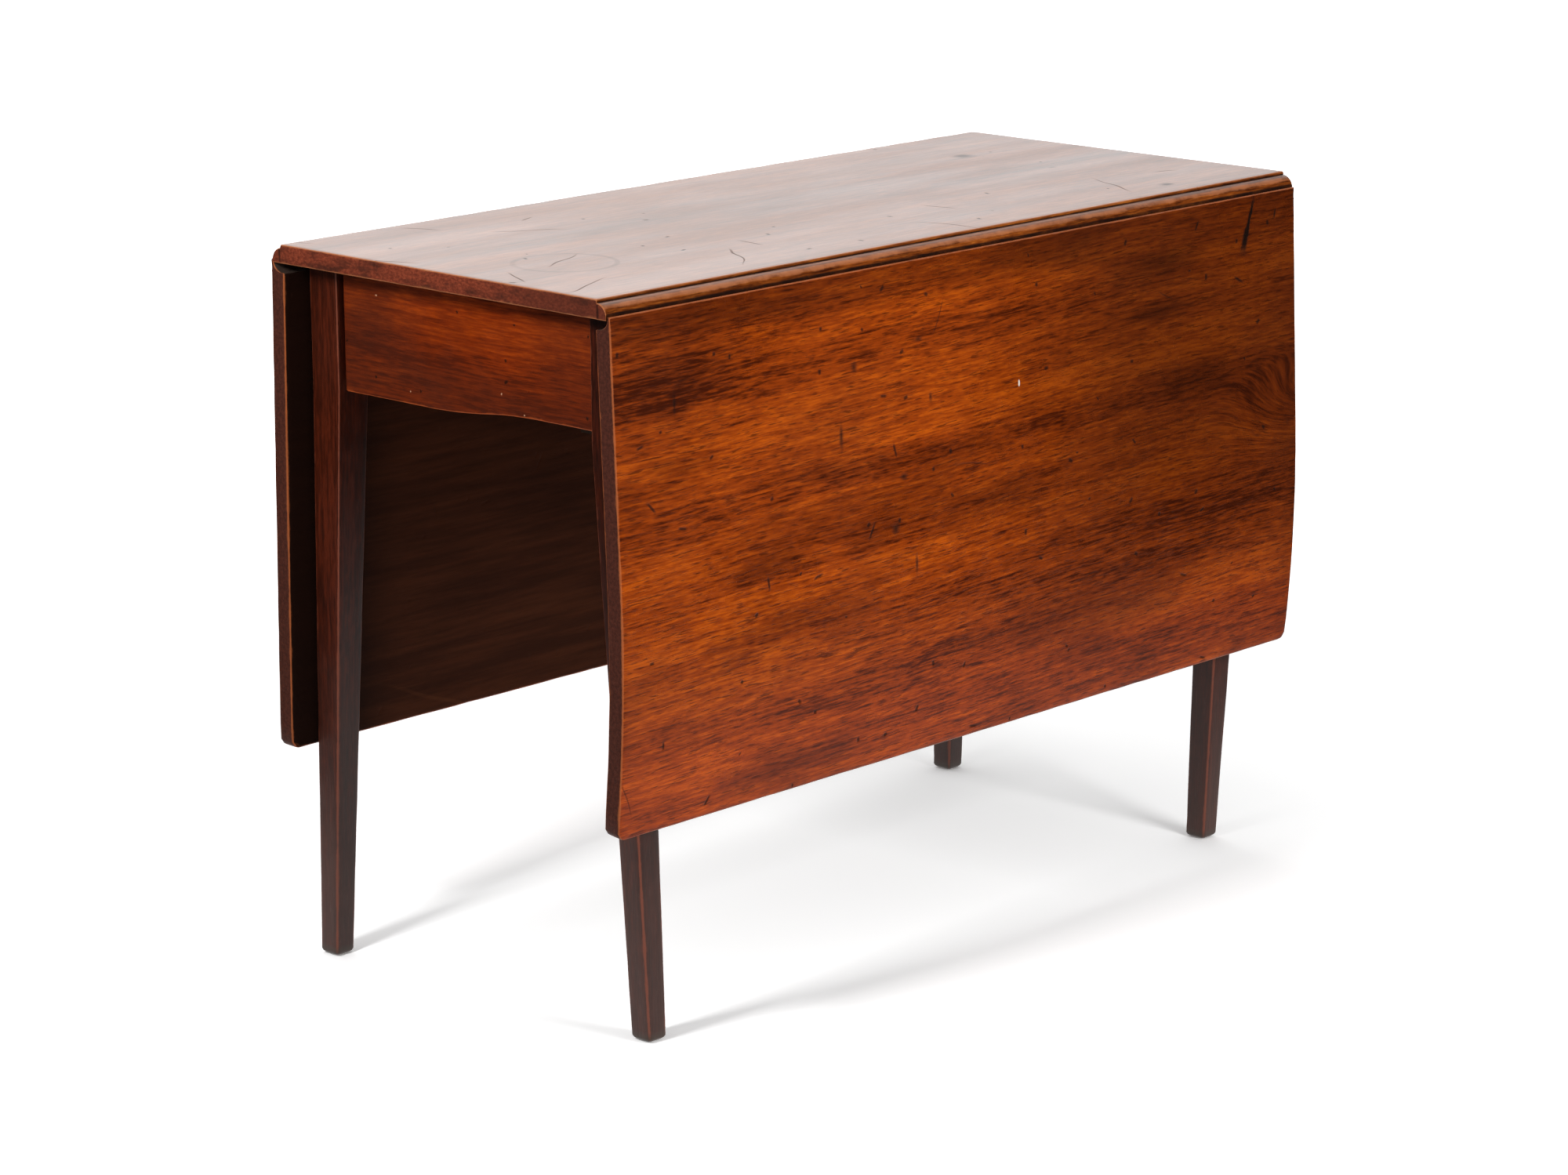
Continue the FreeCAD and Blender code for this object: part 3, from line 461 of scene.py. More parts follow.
def apron_rings(low, high, shoulder):
    """Rings from the fixed leg's shoulder to the free end."""
    count = 44
    free = high.y - 0.006
    rows = [(shoulder + (free - shoulder) * i / count, 0.0, 0.0) for i in range(count + 1)]
    ease = 0.0035
    for angle in (0, 30, 60, 90):
        turn = math.radians(angle)
        rows.append((high.y - ease + ease * math.sin(turn), ease * (1 - math.cos(turn)), 0.4 + angle / 150))
    rings = []
    for y, inset, rub in rows:
        spans = ((low.x + inset, high.x - inset), (apron_bottom(y) + inset, high.z))
        rings.append((y, ring(*spans, 0.0016, 3, 10, rub)))
    return rings


apron_material = apron_finish()
for label, side in (("left_end_apron", "rear"), ("right_end_apron", "front")):
    low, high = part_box("left_end_apron")
    fixed_leg_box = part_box("front_left_leg")
    flip = 1.0 if side == "rear" else -1.0
    apron = build(label + "_board", apron_rings(low, high, fixed_leg_box[1].y - 0.001),
                  lambda a, b, y, flip=flip: (flip * a, flip * y, b), dents=0.0006, ripple=0.0002,
                  seed=20.0 + flip)
    dress(apron, apron_material)
    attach(apron, "frame")
    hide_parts(label)

# ---------------------------------------------------------------- rails and knuckles
# The hinge rails and fly rails are beech: their fingers interleave round an iron pin. The
# inner rails, cross braces and corner blocks are pine, sawn and left bare under the top.


def soften(label, width):
    """Eases the sawn arrises of a carried-over piece."""
    piece = frame["nodes"][label]
    modifier = piece.modifiers.new("eased", "BEVEL")
    modifier.width = width
    modifier.segments = 2
    modifier.limit_method = "ANGLE"
    modifier.angle_limit = math.radians(50)
    return piece


def end_grain(tree, place):
    """1 on faces square to the grain (X), 0 elsewhere."""
    across = split(tree, place["Normal"])["X"]
    return between(tree, maths(tree, "ABSOLUTE", across), 0.55, 0.85)


def bare_wood(name, dark, light, scale):
    material, tree, surface, place = new_material(name)
    lines = stretched(tree, place["Object"], (3.0 * scale, 60.0 * scale, 60.0 * scale), 5.0, 0.65, 0.4)
    fine = stretched(tree, place["Object"], (30.0, 700.0, 700.0), 2.0, 0.6)
    dust = clouds(tree, place["Object"], 7.0, 6.0, 0.7)
    mixed = maths(tree, "MULTIPLY_ADD", fine, 0.4, times(tree, lines, 0.7))
    colour = blend(tree, between(tree, mixed, 0.35, 0.8), dark, light)
    colour = blend(tree, times(tree, end_grain(tree, place), 0.85), colour, (0.02, 0.011, 0.007, 1))
    colour = blend(tree, between(tree, dust, 0.4, 0.75, 0.0, 0.6), colour, (0.035, 0.022, 0.014, 1))
    saw = node(tree, "TexWave", {"Vector": place["Object"], "Scale": 95.0, "Distortion": 3.0,
                                 "Detail": 1.0}, wave_type="BANDS", bands_direction="DIAGONAL")
    tree.links.new(colour, surface.inputs["Base Color"])
    surface.inputs["Specular IOR Level"].default_value = 0.15
    tree.links.new(between(tree, dust, 0.3, 0.7, 0.62, 0.85), surface.inputs["Roughness"])
    bump(tree, surface, 0.35, 0.0005, maths(tree, "MULTIPLY_ADD", saw.outputs["Fac"], 0.4, mixed))
    return material


beech = bare_wood("aged_beech", (0.060, 0.027, 0.013, 1), (0.155, 0.080, 0.040, 1), 1.4)
pine = bare_wood("aged_pine", (0.075, 0.037, 0.018, 1), (0.19, 0.105, 0.055, 1), 0.8)
oak = bare_wood("oak_peg", (0.04, 0.018, 0.010, 1), (0.13, 0.06, 0.03, 1), 3.0)
for side in ("front", "rear"):
    for part in ("hinge_rail", "fly_rail"):
        dress(soften(f"{side}_{part}", 0.0008), beech)
    dress(soften(f"{side}_inner_rail", 0.0008), pine)
    dress(frame["nodes"][f"{side}_gate_pegs"], oak)
for label in ("left_cross_brace", "right_cross_brace", "corner_glue_blocks"):
    dress(soften(label, 0.0008), pine)
dress(frame["nodes"]["frame_tenon_pegs"], oak)

# ---------------------------------------------------------------- centre board
# One wide mahogany board, 19 mm thick, planed by hand. Its long edges carry a small square
# step and an ovolo, half of the rule joint. A century of use has scratched it, and its pale
# grey cast is a painted sheen, in streaks and stronger towards the -X end.
# It is screwed from below to the cross braces, and the hinges are let into its underside.
AXIS_Y = joints["rear_leaf_lift"]["pos_m"][1]
AXIS_Z = joints["rear_leaf_lift"]["pos_m"][2]
top_low, top_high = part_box("top_board")
OVOLO = top_high.y - AXIS_Y
STEP_Z = AXIS_Z + OVOLO
HINGE_NUMBERS = (1, 2, 3)
BOARD_SEGMENTS = 110
WORN_CORNER = 0.006
# Negative values mark the creases of the ovolo and step, which are darkened as painted shade.
WEAR_ROUND = {4: -1.0, 14: -0.5, 26: 0.3, 40: 0.8, 54: 0.8, 68: 0.3, 80: -0.5, 90: -1.0}


def carve(piece, cutters):
    """Cuts housings out of a piece with closed cutter shapes, and clears the crumbs this leaves.

    A cutter is ("box", low corner, high corner) or (radius, one end, other end).
    """
    bm = bmesh.new()
    for kind, low, high in cutters:
        low, high = Vector(low), Vector(high)
        if kind == "box":
            made = bmesh.ops.create_cube(bm, size=1.0)["verts"]
            bmesh.ops.scale(bm, vec=high - low, verts=made)
            bmesh.ops.translate(bm, vec=(low + high) / 2, verts=made)
        else:
            made = bmesh.ops.create_cone(bm, cap_ends=True, segments=24, radius1=kind, radius2=kind,
                                         depth=(high - low).length)["verts"]
            bmesh.ops.rotate(bm, verts=made, matrix=(high - low).to_track_quat("Z", "Y").to_matrix())
            bmesh.ops.translate(bm, vec=(low + high) / 2, verts=made)
    mesh = bpy.data.meshes.new(piece.name + "_cutter")
    bm.to_mesh(mesh)
    bm.free()
    cutter = bpy.data.objects.new(piece.name + "_cutter", mesh)
    bpy.context.scene.collection.objects.link(cutter)
    modifier = piece.modifiers.new("housings", "BOOLEAN")
    modifier.operation = "DIFFERENCE"
    modifier.solver = "EXACT"
    modifier.use_self = True
    modifier.object = cutter
    bpy.context.view_layer.update()
    shaped = bpy.data.meshes.new_from_object(piece.evaluated_get(bpy.context.evaluated_depsgraph_get()))
    piece.modifiers.clear()
    piece.data = shaped
    bpy.data.objects.remove(cutter)
    bm = bmesh.new()
    bm.from_mesh(shaped)
    bmesh.ops.remove_doubles(bm, verts=bm.verts, dist=1e-5)
    bmesh.ops.dissolve_degenerate(bm, edges=bm.edges, dist=1e-6)
    islands, left = [], set(bm.faces)
    while left:
        reached = [left.pop()]
        for face in reached:
            for edge in face.edges:
                if len(edge.link_faces) == 2:
                    beside = [other for other in edge.link_faces if other in left]
                    left.difference_update(beside)
                    reached += beside
        islands.append(reached)
    islands.sort(key=len)
    bmesh.ops.delete(bm, geom=[face for island in islands[:-1] for face in island], context="FACES")
    bm.to_mesh(shaped)
    bm.free()
    shaped.set_sharp_from_angle(angle=SHARP_ANGLE)


def smudge(tree, plane, centre, reach):
    """A soft oval patch on a flat face: 1 in the middle, 0 past its reach."""
    offset = vectors(tree, "SUBTRACT", plane, (centre[0], centre[1], 0.0)).outputs[0]
    scaled = vectors(tree, "MULTIPLY", offset, (1 / reach[0], 1 / reach[1], 1.0))
    near = node(tree, "VectorMath", {0: scaled.outputs[0]}, operation="LENGTH").outputs["Value"]
    uneven = stretched(tree, plane, (0.35 / reach[0], 0.35 / reach[1], 1.0), 4.0, 0.6)
    return between(tree, maths(tree, "MULTIPLY_ADD", uneven, 1.1, near), 1.35, 0.55)


def top_finish():
    material, tree, surface, place = new_material("top_polish")
    figure = figured(tree, place["Object"], (0.055, 0.014, 0.005, 1), (0.145, 0.040, 0.013, 1),
                     (0.25, 0.080, 0.026, 1), 0.3, 0.4)
    flat = split(tree, place["Object"])
    plane = node(tree, "CombineXYZ", {"X": flat["X"], "Y": flat["Y"]}).outputs[0]
    scratches = nicked(tree, plane, 7.0, 0.42, 0.009, 0.45)
    dents = nicked(tree, plane, 12.0, 0.07, 0.03, 0.3)
    bloom = clouds(tree, place["Object"], 5.0, 5.0, 0.65)
    dry = stretched(tree, place["Object"], (2.2, 13.0, 13.0), 4.0, 0.65, offset=(7.0, 2.0, 0.0))
    # Painted sheen: the board is greyed in streaks and more towards its -X end, standing in for the
    # reflected backdrop.
    painted_sheen = maths(tree, "ADD", between(tree, dry, 0.42, 0.72, 0.05, 0.20),
                     between(tree, flat["X"], 0.5, -0.5, 0.0, 0.12))
    painted_sheen_colour = blend(tree, painted_sheen, figure["Colour"], (0.28, 0.165, 0.11, 1))
    ring_away = vectors(tree, "DISTANCE", plane, (-0.390, -0.060, 0.0)).outputs["Value"]
    ring_edge = maths(tree, "ABSOLUTE", maths(tree, "SUBTRACT", ring_away, 0.049))
    broken = between(tree, bloom, 0.35, 0.6, 0.4, 1.0)
    stain = times(tree, between(tree, ring_edge, 0.004, 0.001), broken)
    dulled = maths(tree, "MULTIPLY_ADD", stain, 0.3, between(tree, dry, 0.45, 0.7, 0.0, 0.14))
    colour = blend(tree, times(tree, stain, 0.4), painted_sheen_colour, (0.05, 0.020, 0.010, 1))
    for centre, reach in (((0.358, 0.103), (0.026, 0.022)), ((0.350, -0.182), (0.018, 0.013)),
                          ((0.36, -0.02), (0.012, 0.008))):
        knot = smudge(tree, plane, centre, reach)
        dulled = maths(tree, "MULTIPLY_ADD", knot, 0.75, dulled)
        colour = blend(tree, times(tree, knot, 0.9), colour, (0.03, 0.010, 0.005, 1))
    for centre, reach in (((-0.05, 0.02), (0.12, 0.03)), ((0.20, 0.12), (0.25, 0.03)),
                          ((0.30, -0.05), (0.2, 0.04))):
        browned = times(tree, smudge(tree, plane, centre, reach), 0.4)
        dulled = maths(tree, "MULTIPLY_ADD", browned, 0.3, dulled)
        colour = blend(tree, browned, colour, (0.07, 0.022, 0.009, 1))
    colour = blend(tree, times(tree, scratches, 0.75), colour, (0.06, 0.028, 0.018, 1))
    colour = blend(tree, times(tree, dents, 0.9), colour, (0.02, 0.01, 0.008, 1))
    side = between(tree, split(tree, place["Normal"])["Z"], 0.93, 0.55)
    edge_figure = figured(tree, place["Object"], (0.035, 0.006, 0.0015, 1), (0.19, 0.042, 0.005, 1),
                     (0.40, 0.115, 0.015, 1), 0.7, 0.8)
    colour = blend(tree, side, colour, edge_figure["Colour"])
    ends = end_grain(tree, place)
    speckle = stretched(tree, place["Object"], (60.0, 240.0, 420.0), 3.0, 0.65)
    speckle = between(tree, speckle, 0.3, 0.75)
    end_colour = blend(tree, speckle, (0.095, 0.019, 0.010, 1), (0.21, 0.044, 0.020, 1))
    handled = stretched(tree, place["Object"], (4.0, 17.0, 60.0), 5.0, 0.65)
    grimy = between(tree, handled, 0.45, 0.68, 0.0, 0.85)
    end_colour = blend(tree, grimy, end_colour, (0.035, 0.012, 0.008, 1))
    # The end grain is darkened towards its front corner.
    front_darkening = between(tree, flat["Y"], -0.04, -0.17)
    end_colour = blend(tree, times(tree, front_darkening, 0.55), end_colour, (0.045, 0.014, 0.009, 1))
    colour = blend(tree, ends, colour, end_colour)
    under = between(tree, split(tree, place["Normal"])["Z"], -0.8, -0.95)
    raw = blend(tree, bloom, (0.03, 0.014, 0.008, 1), (0.075, 0.036, 0.018, 1))
    colour = blend(tree, under, colour, raw)
    # The paler arris colour is partly worn wood and partly a painted highlight.
    worn_and_highlit = worn_through_and_highlit(tree, colour, (0.42, 0.15, 0.06, 1), 0.6, place["Object"])
    tree.links.new(worn_and_highlit, surface.inputs["Base Color"])
    rough = maths(tree, "ADD", between(tree, dry, 0.3, 0.7, 0.325, 0.385), times(tree, scratches, 0.2))
    tree.links.new(maths(tree, "MAXIMUM", rough, times(tree, under, 0.8)), surface.inputs["Roughness"])
    depth = maths(tree, "SUBTRACT", times(tree, figure["Height"], 0.4),
                  maths(tree, "ADD", scratches, times(tree, dents, 2.0)))
    bump(tree, surface, 0.35, 0.0006, depth)
    dulled = maths(tree, "MULTIPLY_ADD", scratches, 0.5, maths(tree, "MULTIPLY_ADD", dents, 0.8, dulled))
    gloss = times(tree, between(tree, side, 0.0, 1.0, 1.0, 0.12),
                  between(tree, flat["X"], -0.5, 0.5, 0.55, 0.37))
    gloss = times(tree, gloss, maths(tree, "SUBTRACT", 1.0, dulled, clamp=True))
    tree.links.new(gloss, surface.inputs["Specular IOR Level"])
    return material


def top_rings():
    """Rings across the board, from the -Y edge to the +Y edge."""
    rows = []
    for angle in (4, 14, 26, 40, 54, 68, 80, 90):
        turn = math.radians(angle)
        out, rise = AXIS_Y + OVOLO * math.cos(turn), OVOLO * math.sin(turn)
        rows.append((out, max(top_low.z, AXIS_Z - rise), AXIS_Z + rise, WEAR_ROUND[angle]))
    rows[-1] = (AXIS_Y + 0.0001, top_low.z, STEP_Z, -1.0)
    for inward, fallen, rub in ((0.0, 0.0011, 0.9), (0.0004, 0.0003, 1.0), (0.0013, 0.0, 0.8),
                                (0.006, 0.0, 0.0)):
        rows.append((AXIS_Y - inward, top_low.z, top_high.z - fallen, rub))
    inner = 14
    half = [(AXIS_Y - 0.006) * (1 - i / inner) for i in range(1, inner)]
    rows += [(place, top_low.z, top_high.z, 0.0) for place in half]
    full = [(-y, *rest) for y, *rest in rows] + [(0.0, top_low.z, top_high.z, 0.0)] + rows[::-1]
    rings = []
    for y, low, high, rub in full:
        lost = 0.0
        start = AXIS_Y - WORN_CORNER
        if y > start:
            past = min(y - start, WORN_CORNER)
            lost = WORN_CORNER - math.sqrt(WORN_CORNER ** 2 - past ** 2)
        rings.append((y, ring((top_low.x, top_high.x - lost), (low, high), 0.0016, BOARD_SEGMENTS, 1, rub)))
    return rings


top = build("centre_board", top_rings(), lambda a, b, y: (a, y, b), dents=0.0005, ripple=0.0002, seed=1.0)
cutters = []
for side in ("front", "rear"):
    flip = 1.0 if side == "rear" else -1.0
    for number in HINGE_NUMBERS:
        low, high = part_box(f"{side}_hinge_top_plate_{number}")
        axis = flip * AXIS_Y
        near = min(axis, low.y + 0.0035 if flip < 0 else low.y)
        far = max(axis, high.y - 0.0035 if flip > 0 else high.y)
        cutters.append(("box", (low.x, near, low.z - 0.001), (high.x, far, low.z + 0.002)))
        left, right = low.x - 0.0005, high.x + 0.0005
        edge = sorted((flip * (AXIS_Y - 0.001), flip * (AXIS_Y + OVOLO + 0.001)))
        cutters.append(("box", (left, edge[0], low.z - 0.001), (right, edge[1], low.z + 0.0025)))
        cutters.append((0.004, (left, axis, AXIS_Z), (right, axis, AXIS_Z)))
carve(top, cutters)
dress(top, top_finish())
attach(top, "frame")
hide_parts("top_board")

# ---------------------------------------------------------------- leaves
# Two wide single boards hinged along the centre board. Each has a cove that rides over the
# ovolo, eased arrises and rounded free corners. The front one has cupped with age, so it
# hangs out at the hinge and comes back in at its free edge.
LEAN = {"front": math.radians(2.3), "rear": math.radians(1.25)}
OUTER = top_high.z - AXIS_Z
INNER = top_low.z - AXIS_Z
COVE = OVOLO + 0.0005
LEAF_DEPTH = 0.490
LEAF_CORNER = 0.012
BEND_START = 0.245
BEND_RADIUS = 1.6
LEAF_STATIONS = 30


def leaf_place(side):
    """Turns (x, out, down) from the hinge axis into the row frame at rest."""
    flip = 1.0 if side == "rear" else -1.0
    lean = LEAN[side]

    def place(x, out, down):
        if side == "front" and down > BEND_START:
            turn = (down - BEND_START) / BEND_RADIUS
            reach = BEND_RADIUS - OUTER + out
            out = OUTER - BEND_RADIUS + reach * math.cos(turn)
            down = BEND_START + reach * math.sin(turn)
        y = AXIS_Y + out * math.cos(lean) + down * math.sin(lean)
        z = AXIS_Z + out * math.sin(lean) - down * math.cos(lean)
        return (flip * x, flip * y, z)

    return place


def leaf_rings(half):
    """Rings down the leaf, from the lip over the ovolo to the free edge."""
    rows = []
    for down, outer in ((0.0005, OUTER - 0.0013), (0.0007, OUTER - 0.0006), (0.0012, OUTER - 0.0002)):
        rows.append((down, math.sqrt(COVE ** 2 - down ** 2), outer, 0.9))
    for angle in (12, 24, 36, 48, 60, 72, 82, 89):
        turn = math.radians(angle)
        rows.append((COVE * math.sin(turn), COVE * math.cos(turn), OUTER, 0.0))
    rows.append((COVE, INNER + 0.0008, OUTER, 0.0))
    rows.append((COVE + 0.0008, INNER, OUTER, 0.0))
    last = LEAF_DEPTH - 0.008
    first = COVE + 0.006
    for i in range(LEAF_STATIONS + 1):
        rows.append((first + (last - first) * i / LEAF_STATIONS, INNER, OUTER, 0.0))
    ease = 0.003
    for angle in (0, 30, 60, 90):
        turn = math.radians(angle)
        inset = ease * (1 - math.cos(turn))
        down = LEAF_DEPTH - ease + ease * math.sin(turn)
        rows.append((down, INNER + inset, OUTER - inset, 0.4 + angle / 150))
    rings = []
    for down, inner, outer, rub in rows:
        past = max(0.0, down - (LEAF_DEPTH - LEAF_CORNER))
        reach = half - LEAF_CORNER + math.sqrt(max(0.0, LEAF_CORNER ** 2 - past ** 2))
        rings.append((down, ring((-reach, reach), (inner, outer), 0.0018, BOARD_SEGMENTS, 2, rub)))
    return rings


def leaf_finish(side):
    material, tree, surface, place = new_material(f"{side}_leaf_polish")
    parts = split(tree, place["Object"])
    eye = vectors(tree, "SUBTRACT", place["Object"], (0.53, -0.235, 0.475)).outputs[0]
    stretch = vectors(tree, "MULTIPLY", eye, (6.0, 0.0, 15.0)).outputs[0]
    away = node(tree, "VectorMath", {0: stretch}, operation="LENGTH").outputs["Value"]
    swirl = between(tree, away, 1.1, 0.0)
    rise = times(tree, maths(tree, "SINE", times(tree, parts["X"], 2.6)), -0.012)
    lifted = maths(tree, "ADD", parts["Z"], rise)
    lifted = maths(tree, "MULTIPLY_ADD", swirl, 0.055, lifted)
    flow = node(tree, "CombineXYZ", {"X": parts["X"], "Y": parts["Y"], "Z": lifted}).outputs[0]
    figure = figured(tree, flow, (0.058, 0.0072, 0.0006, 1), (0.285, 0.040, 0.0006, 1),
                     (0.50, 0.086, 0.0008, 1), 0.65, 0.9)
    # Painted light: the leaf is lightened towards its lower edge with a pale pink soft-light blend.
    painted_low_light = times(tree, between(tree, parts["Z"], 0.36, 0.25), 0.25)
    colour = blend(tree, painted_low_light, figure["Colour"], (0.66, 0.34, 0.20, 1), "SOFT_LIGHT")
    grime = clouds(tree, place["Object"], 3.4, 6.0, 0.62)
    # Painted shade: the leaf darkens round one upper corner, in a band along its top edge and towards its
    # +X end, and random grime is added to that.
    corner = vectors(tree, "DISTANCE", place["Object"], (-0.40, -0.235, 0.69))
    dusk = times(tree, between(tree, corner.outputs["Value"], 0.16, 0.02), 0.3)
    band = times(tree, between(tree, parts["Z"], 0.655, 0.69), 0.6)
    upper = between(tree, parts["Z"], 0.25, 0.5, 0.3, 1.0)
    far = times(tree, between(tree, parts["X"], -0.1, 0.28, 0.0, 0.95), upper)
    shaded = maths(tree, "ADD", maths(tree, "MAXIMUM", dusk, band), far)
    dirt_and_shade = maths(tree, "ADD", between(tree, grime, 0.5, 0.75, 0.0, 0.5), shaded, clamp=True)
    colour = blend(tree, dirt_and_shade, colour, blend(tree, 0.72, colour, (0.026, 0.005, 0.0015, 1)))
    plane = node(tree, "CombineXYZ", {"X": parts["X"], "Y": parts["Z"]}).outputs[0]
    if side == "front":
        for centre, reach, depth in (
                ((0.285, 0.655), (0.10, 0.024), 0.8), ((0.27, 0.603), (0.08, 0.020), 0.8),
                ((0.33, 0.53), (0.13, 0.04), 0.5), ((-0.30, 0.44), (0.13, 0.022), 0.5),
                ((0.03, 0.46), (0.12, 0.030), 0.45), ((-0.22, 0.52), (0.15, 0.018), 0.35)):
            cloud = times(tree, smudge(tree, plane, centre, reach), depth)
            colour = blend(tree, cloud, colour, blend(tree, 0.7, colour, (0.020, 0.004, 0.0015, 1)))
    nicks = nicked(tree, plane, 11.0, 0.13, 0.022, 0.4)
    pits = nicked(tree, plane, 19.0, 0.09, 0.05, 0.3)
    hairs = nicked(tree, plane, 5.0, 0.30, 0.006, 0.5)
    marks = maths(tree, "MAXIMUM", nicks, maths(tree, "MAXIMUM", pits, times(tree, hairs, 0.6)))
    if side == "front":
        for centre, reach in (((-0.424, 0.614), (0.005, 0.020)), ((-0.184, 0.614), (0.009, 0.011)),
                              ((-0.204, 0.550), (0.005, 0.022)), ((-0.118, 0.498), (0.009, 0.007)),
                              ((-0.132, 0.449), (0.009, 0.011)), ((-0.077, 0.570), (0.005, 0.009)),
                              ((-0.093, 0.628), (0.013, 0.005)), ((-0.102, 0.409), (0.004, 0.019))):
            marks = maths(tree, "MAXIMUM", marks, smudge(tree, plane, centre, reach))
    colour = blend(tree, times(tree, marks, 0.8), colour, (0.010, 0.003, 0.001, 1))
    if side == "front":
        gouge = vectors(tree, "SUBTRACT", plane, (0.4215, 0.674, 0.0)).outputs[0]
        slanted = node(tree, "VectorRotate", {"Vector": gouge, "Angle": 0.36}, rotation_type="Z_AXIS")
        ragged = node(tree, "TexNoise", {"Vector": plane, "Scale": 60.0, "Detail": 3.0}).outputs["Fac"]
        spot = split(tree, slanted.outputs[0])
        tall = between(tree, maths(tree, "ABSOLUTE", spot["Y"]), 0.036, 0.018)
        broad = times(tree, ragged, between(tree, spot["Y"], 0.03, -0.025, 0.005, 0.014))
        wide = between(tree, maths(tree, "DIVIDE", maths(tree, "ABSOLUTE", spot["X"]), broad), 1.0, 0.4)
        scar = times(tree, tall, wide)
        colour = blend(tree, times(tree, scar, 0.95), colour, (0.006, 0.003, 0.002, 1))
        chalk = vectors(tree, "SUBTRACT", plane, (0.0535, 0.5628, 0.0)).outputs[0]
        chalk = vectors(tree, "MULTIPLY", chalk, (2.2, 1.0, 1.0)).outputs[0]
        near = node(tree, "VectorMath", {0: chalk}, operation="LENGTH").outputs["Value"]
        fleck = between(tree, maths(tree, "MULTIPLY_ADD", ragged, -0.0095, near), 0.0, -0.002)
        colour = blend(tree, times(tree, fleck, 0.9), colour, (0.75, 0.66, 0.55, 1))
        marks = maths(tree, "MAXIMUM", marks, scar)
    ends = end_grain(tree, place)
    speckle = stretched(tree, place["Object"], (60.0, 300.0, 300.0), 3.0, 0.65)
    speckle = between(tree, speckle, 0.3, 0.75)
    end_colour = blend(tree, speckle, (0.040, 0.013, 0.009, 1), (0.075, 0.022, 0.014, 1))
    colour = blend(tree, ends, colour, end_colour)
    facing = split(tree, place["Normal"])
    turned_in = times(tree, facing["Y"], 1.0 if side == "front" else -1.0)
    inner_face = between(tree, turned_in, 0.8, 0.95)
    # The raw colour of the unfinished inner face is kept dark partly as painted shade under the table.
    raw_lines = stretched(tree, place["Object"], (5.0, 70.0, 70.0), 4.0, 0.6)
    raw_lines = between(tree, raw_lines, 0.3, 0.75)
    raw = blend(tree, raw_lines, (0.060, 0.0165, 0.007, 1), (0.115, 0.032, 0.012, 1))
    # Painted shade: the inner face is darkened near both ends, where the legs shade it.
    painted_end_shade = between(tree, maths(tree, "ABSOLUTE", parts["X"]), 0.34, 0.45, 0.0, 0.95)
    raw = blend(tree, painted_end_shade, raw, (0.011, 0.004, 0.0025, 1))
    rubs = nicked(tree, plane, 2.6, 0.9, 0.008, 0.7)
    raw = blend(tree, times(tree, rubs, 0.25), raw, (0.22, 0.07, 0.025, 1))
    colour = blend(tree, inner_face, colour, raw)
    # Painted shade: the cove that rides under the ovolo is darkened to a dull brown-grey.
    cove = times(tree, between(tree, facing["Z"], 0.1, 0.4), between(tree, parts["Z"], 0.68, 0.686))
    cove = times(tree, cove, between(tree, maths(tree, "ABSOLUTE", parts["Y"]), 0.2295, 0.2285))
    colour = blend(tree, cove, colour, (0.045, 0.030, 0.024, 1))
    # The paler arris colour is partly worn wood and partly a painted highlight.
    worn_and_highlit = worn_through_and_highlit(tree, colour, (0.42, 0.115, 0.035, 1), 0.6, place["Object"])
    tree.links.new(worn_and_highlit, surface.inputs["Base Color"])
    rough = between(tree, grime, 0.3, 0.7, 0.24, 0.36)
    rough = maths(tree, "MULTIPLY_ADD", marks, 0.3, rough)
    tree.links.new(maths(tree, "MAXIMUM", rough, times(tree, inner_face, 0.62)),
                   surface.inputs["Roughness"])
    tree.links.new(between(tree, maths(tree, "MAXIMUM", inner_face, ends), 0.0, 1.0, 0.30, 0.08),
                   surface.inputs["Specular IOR Level"])
    depth = maths(tree, "SUBTRACT", times(tree, figure["Height"], 0.6), times(tree, marks, 2.0))
    bump(tree, surface, 0.35, 0.0005, depth)
    return material


for side in ("front", "rear"):
    leaf_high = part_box(f"{side}_leaf_board")[1]
    leaf = build(f"{side}_leaf", leaf_rings(leaf_high.x), leaf_place(side), dents=0.0005, ripple=0.0003,
                 seed=7.0 if side == "front" else 12.0)
    lean = LEAN[side]
    housings = []
    for number in HINGE_NUMBERS:
        low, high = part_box(f"{side}_hinge_leaf_plate_{number}")
        if side == "rear":
            span = (low.y - 0.002, low.y + 0.0033)
        else:
            span = (high.y - 0.0045, high.y + 0.002)
        housings.append(("box", (low.x, span[0], low.z - 0.0002), (high.x, span[1], AXIS_Z - 0.012)))
    carve(leaf, housings)
    dress(leaf, leaf_finish(side))
    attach(leaf, f"{side}_leaf")
    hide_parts(f"{side}_leaf_board")

# ---------------------------------------------------------------- ironwork
# Wrought rule joint hinges, their pins, the knuckle pins and every wood screw: dark iron
# with filed edges and a thin bloom of rust.


def iron_finish():
    material, tree, surface, place = new_material("dark_iron")
    rust = clouds(tree, place["Object"], 120.0, 6.0, 0.7)
    colour = blend(tree, between(tree, rust, 0.45, 0.7), (0.035, 0.031, 0.028, 1), (0.16, 0.065, 0.028, 1))
    tree.links.new(colour, surface.inputs["Base Color"])
    tree.links.new(between(tree, rust, 0.4, 0.65, 0.9, 0.25), surface.inputs["Metallic"])
    tree.links.new(between(tree, rust, 0.35, 0.7, 0.42, 0.8), surface.inputs["Roughness"])
    bump(tree, surface, 0.4, 0.0003, rust)
    return material


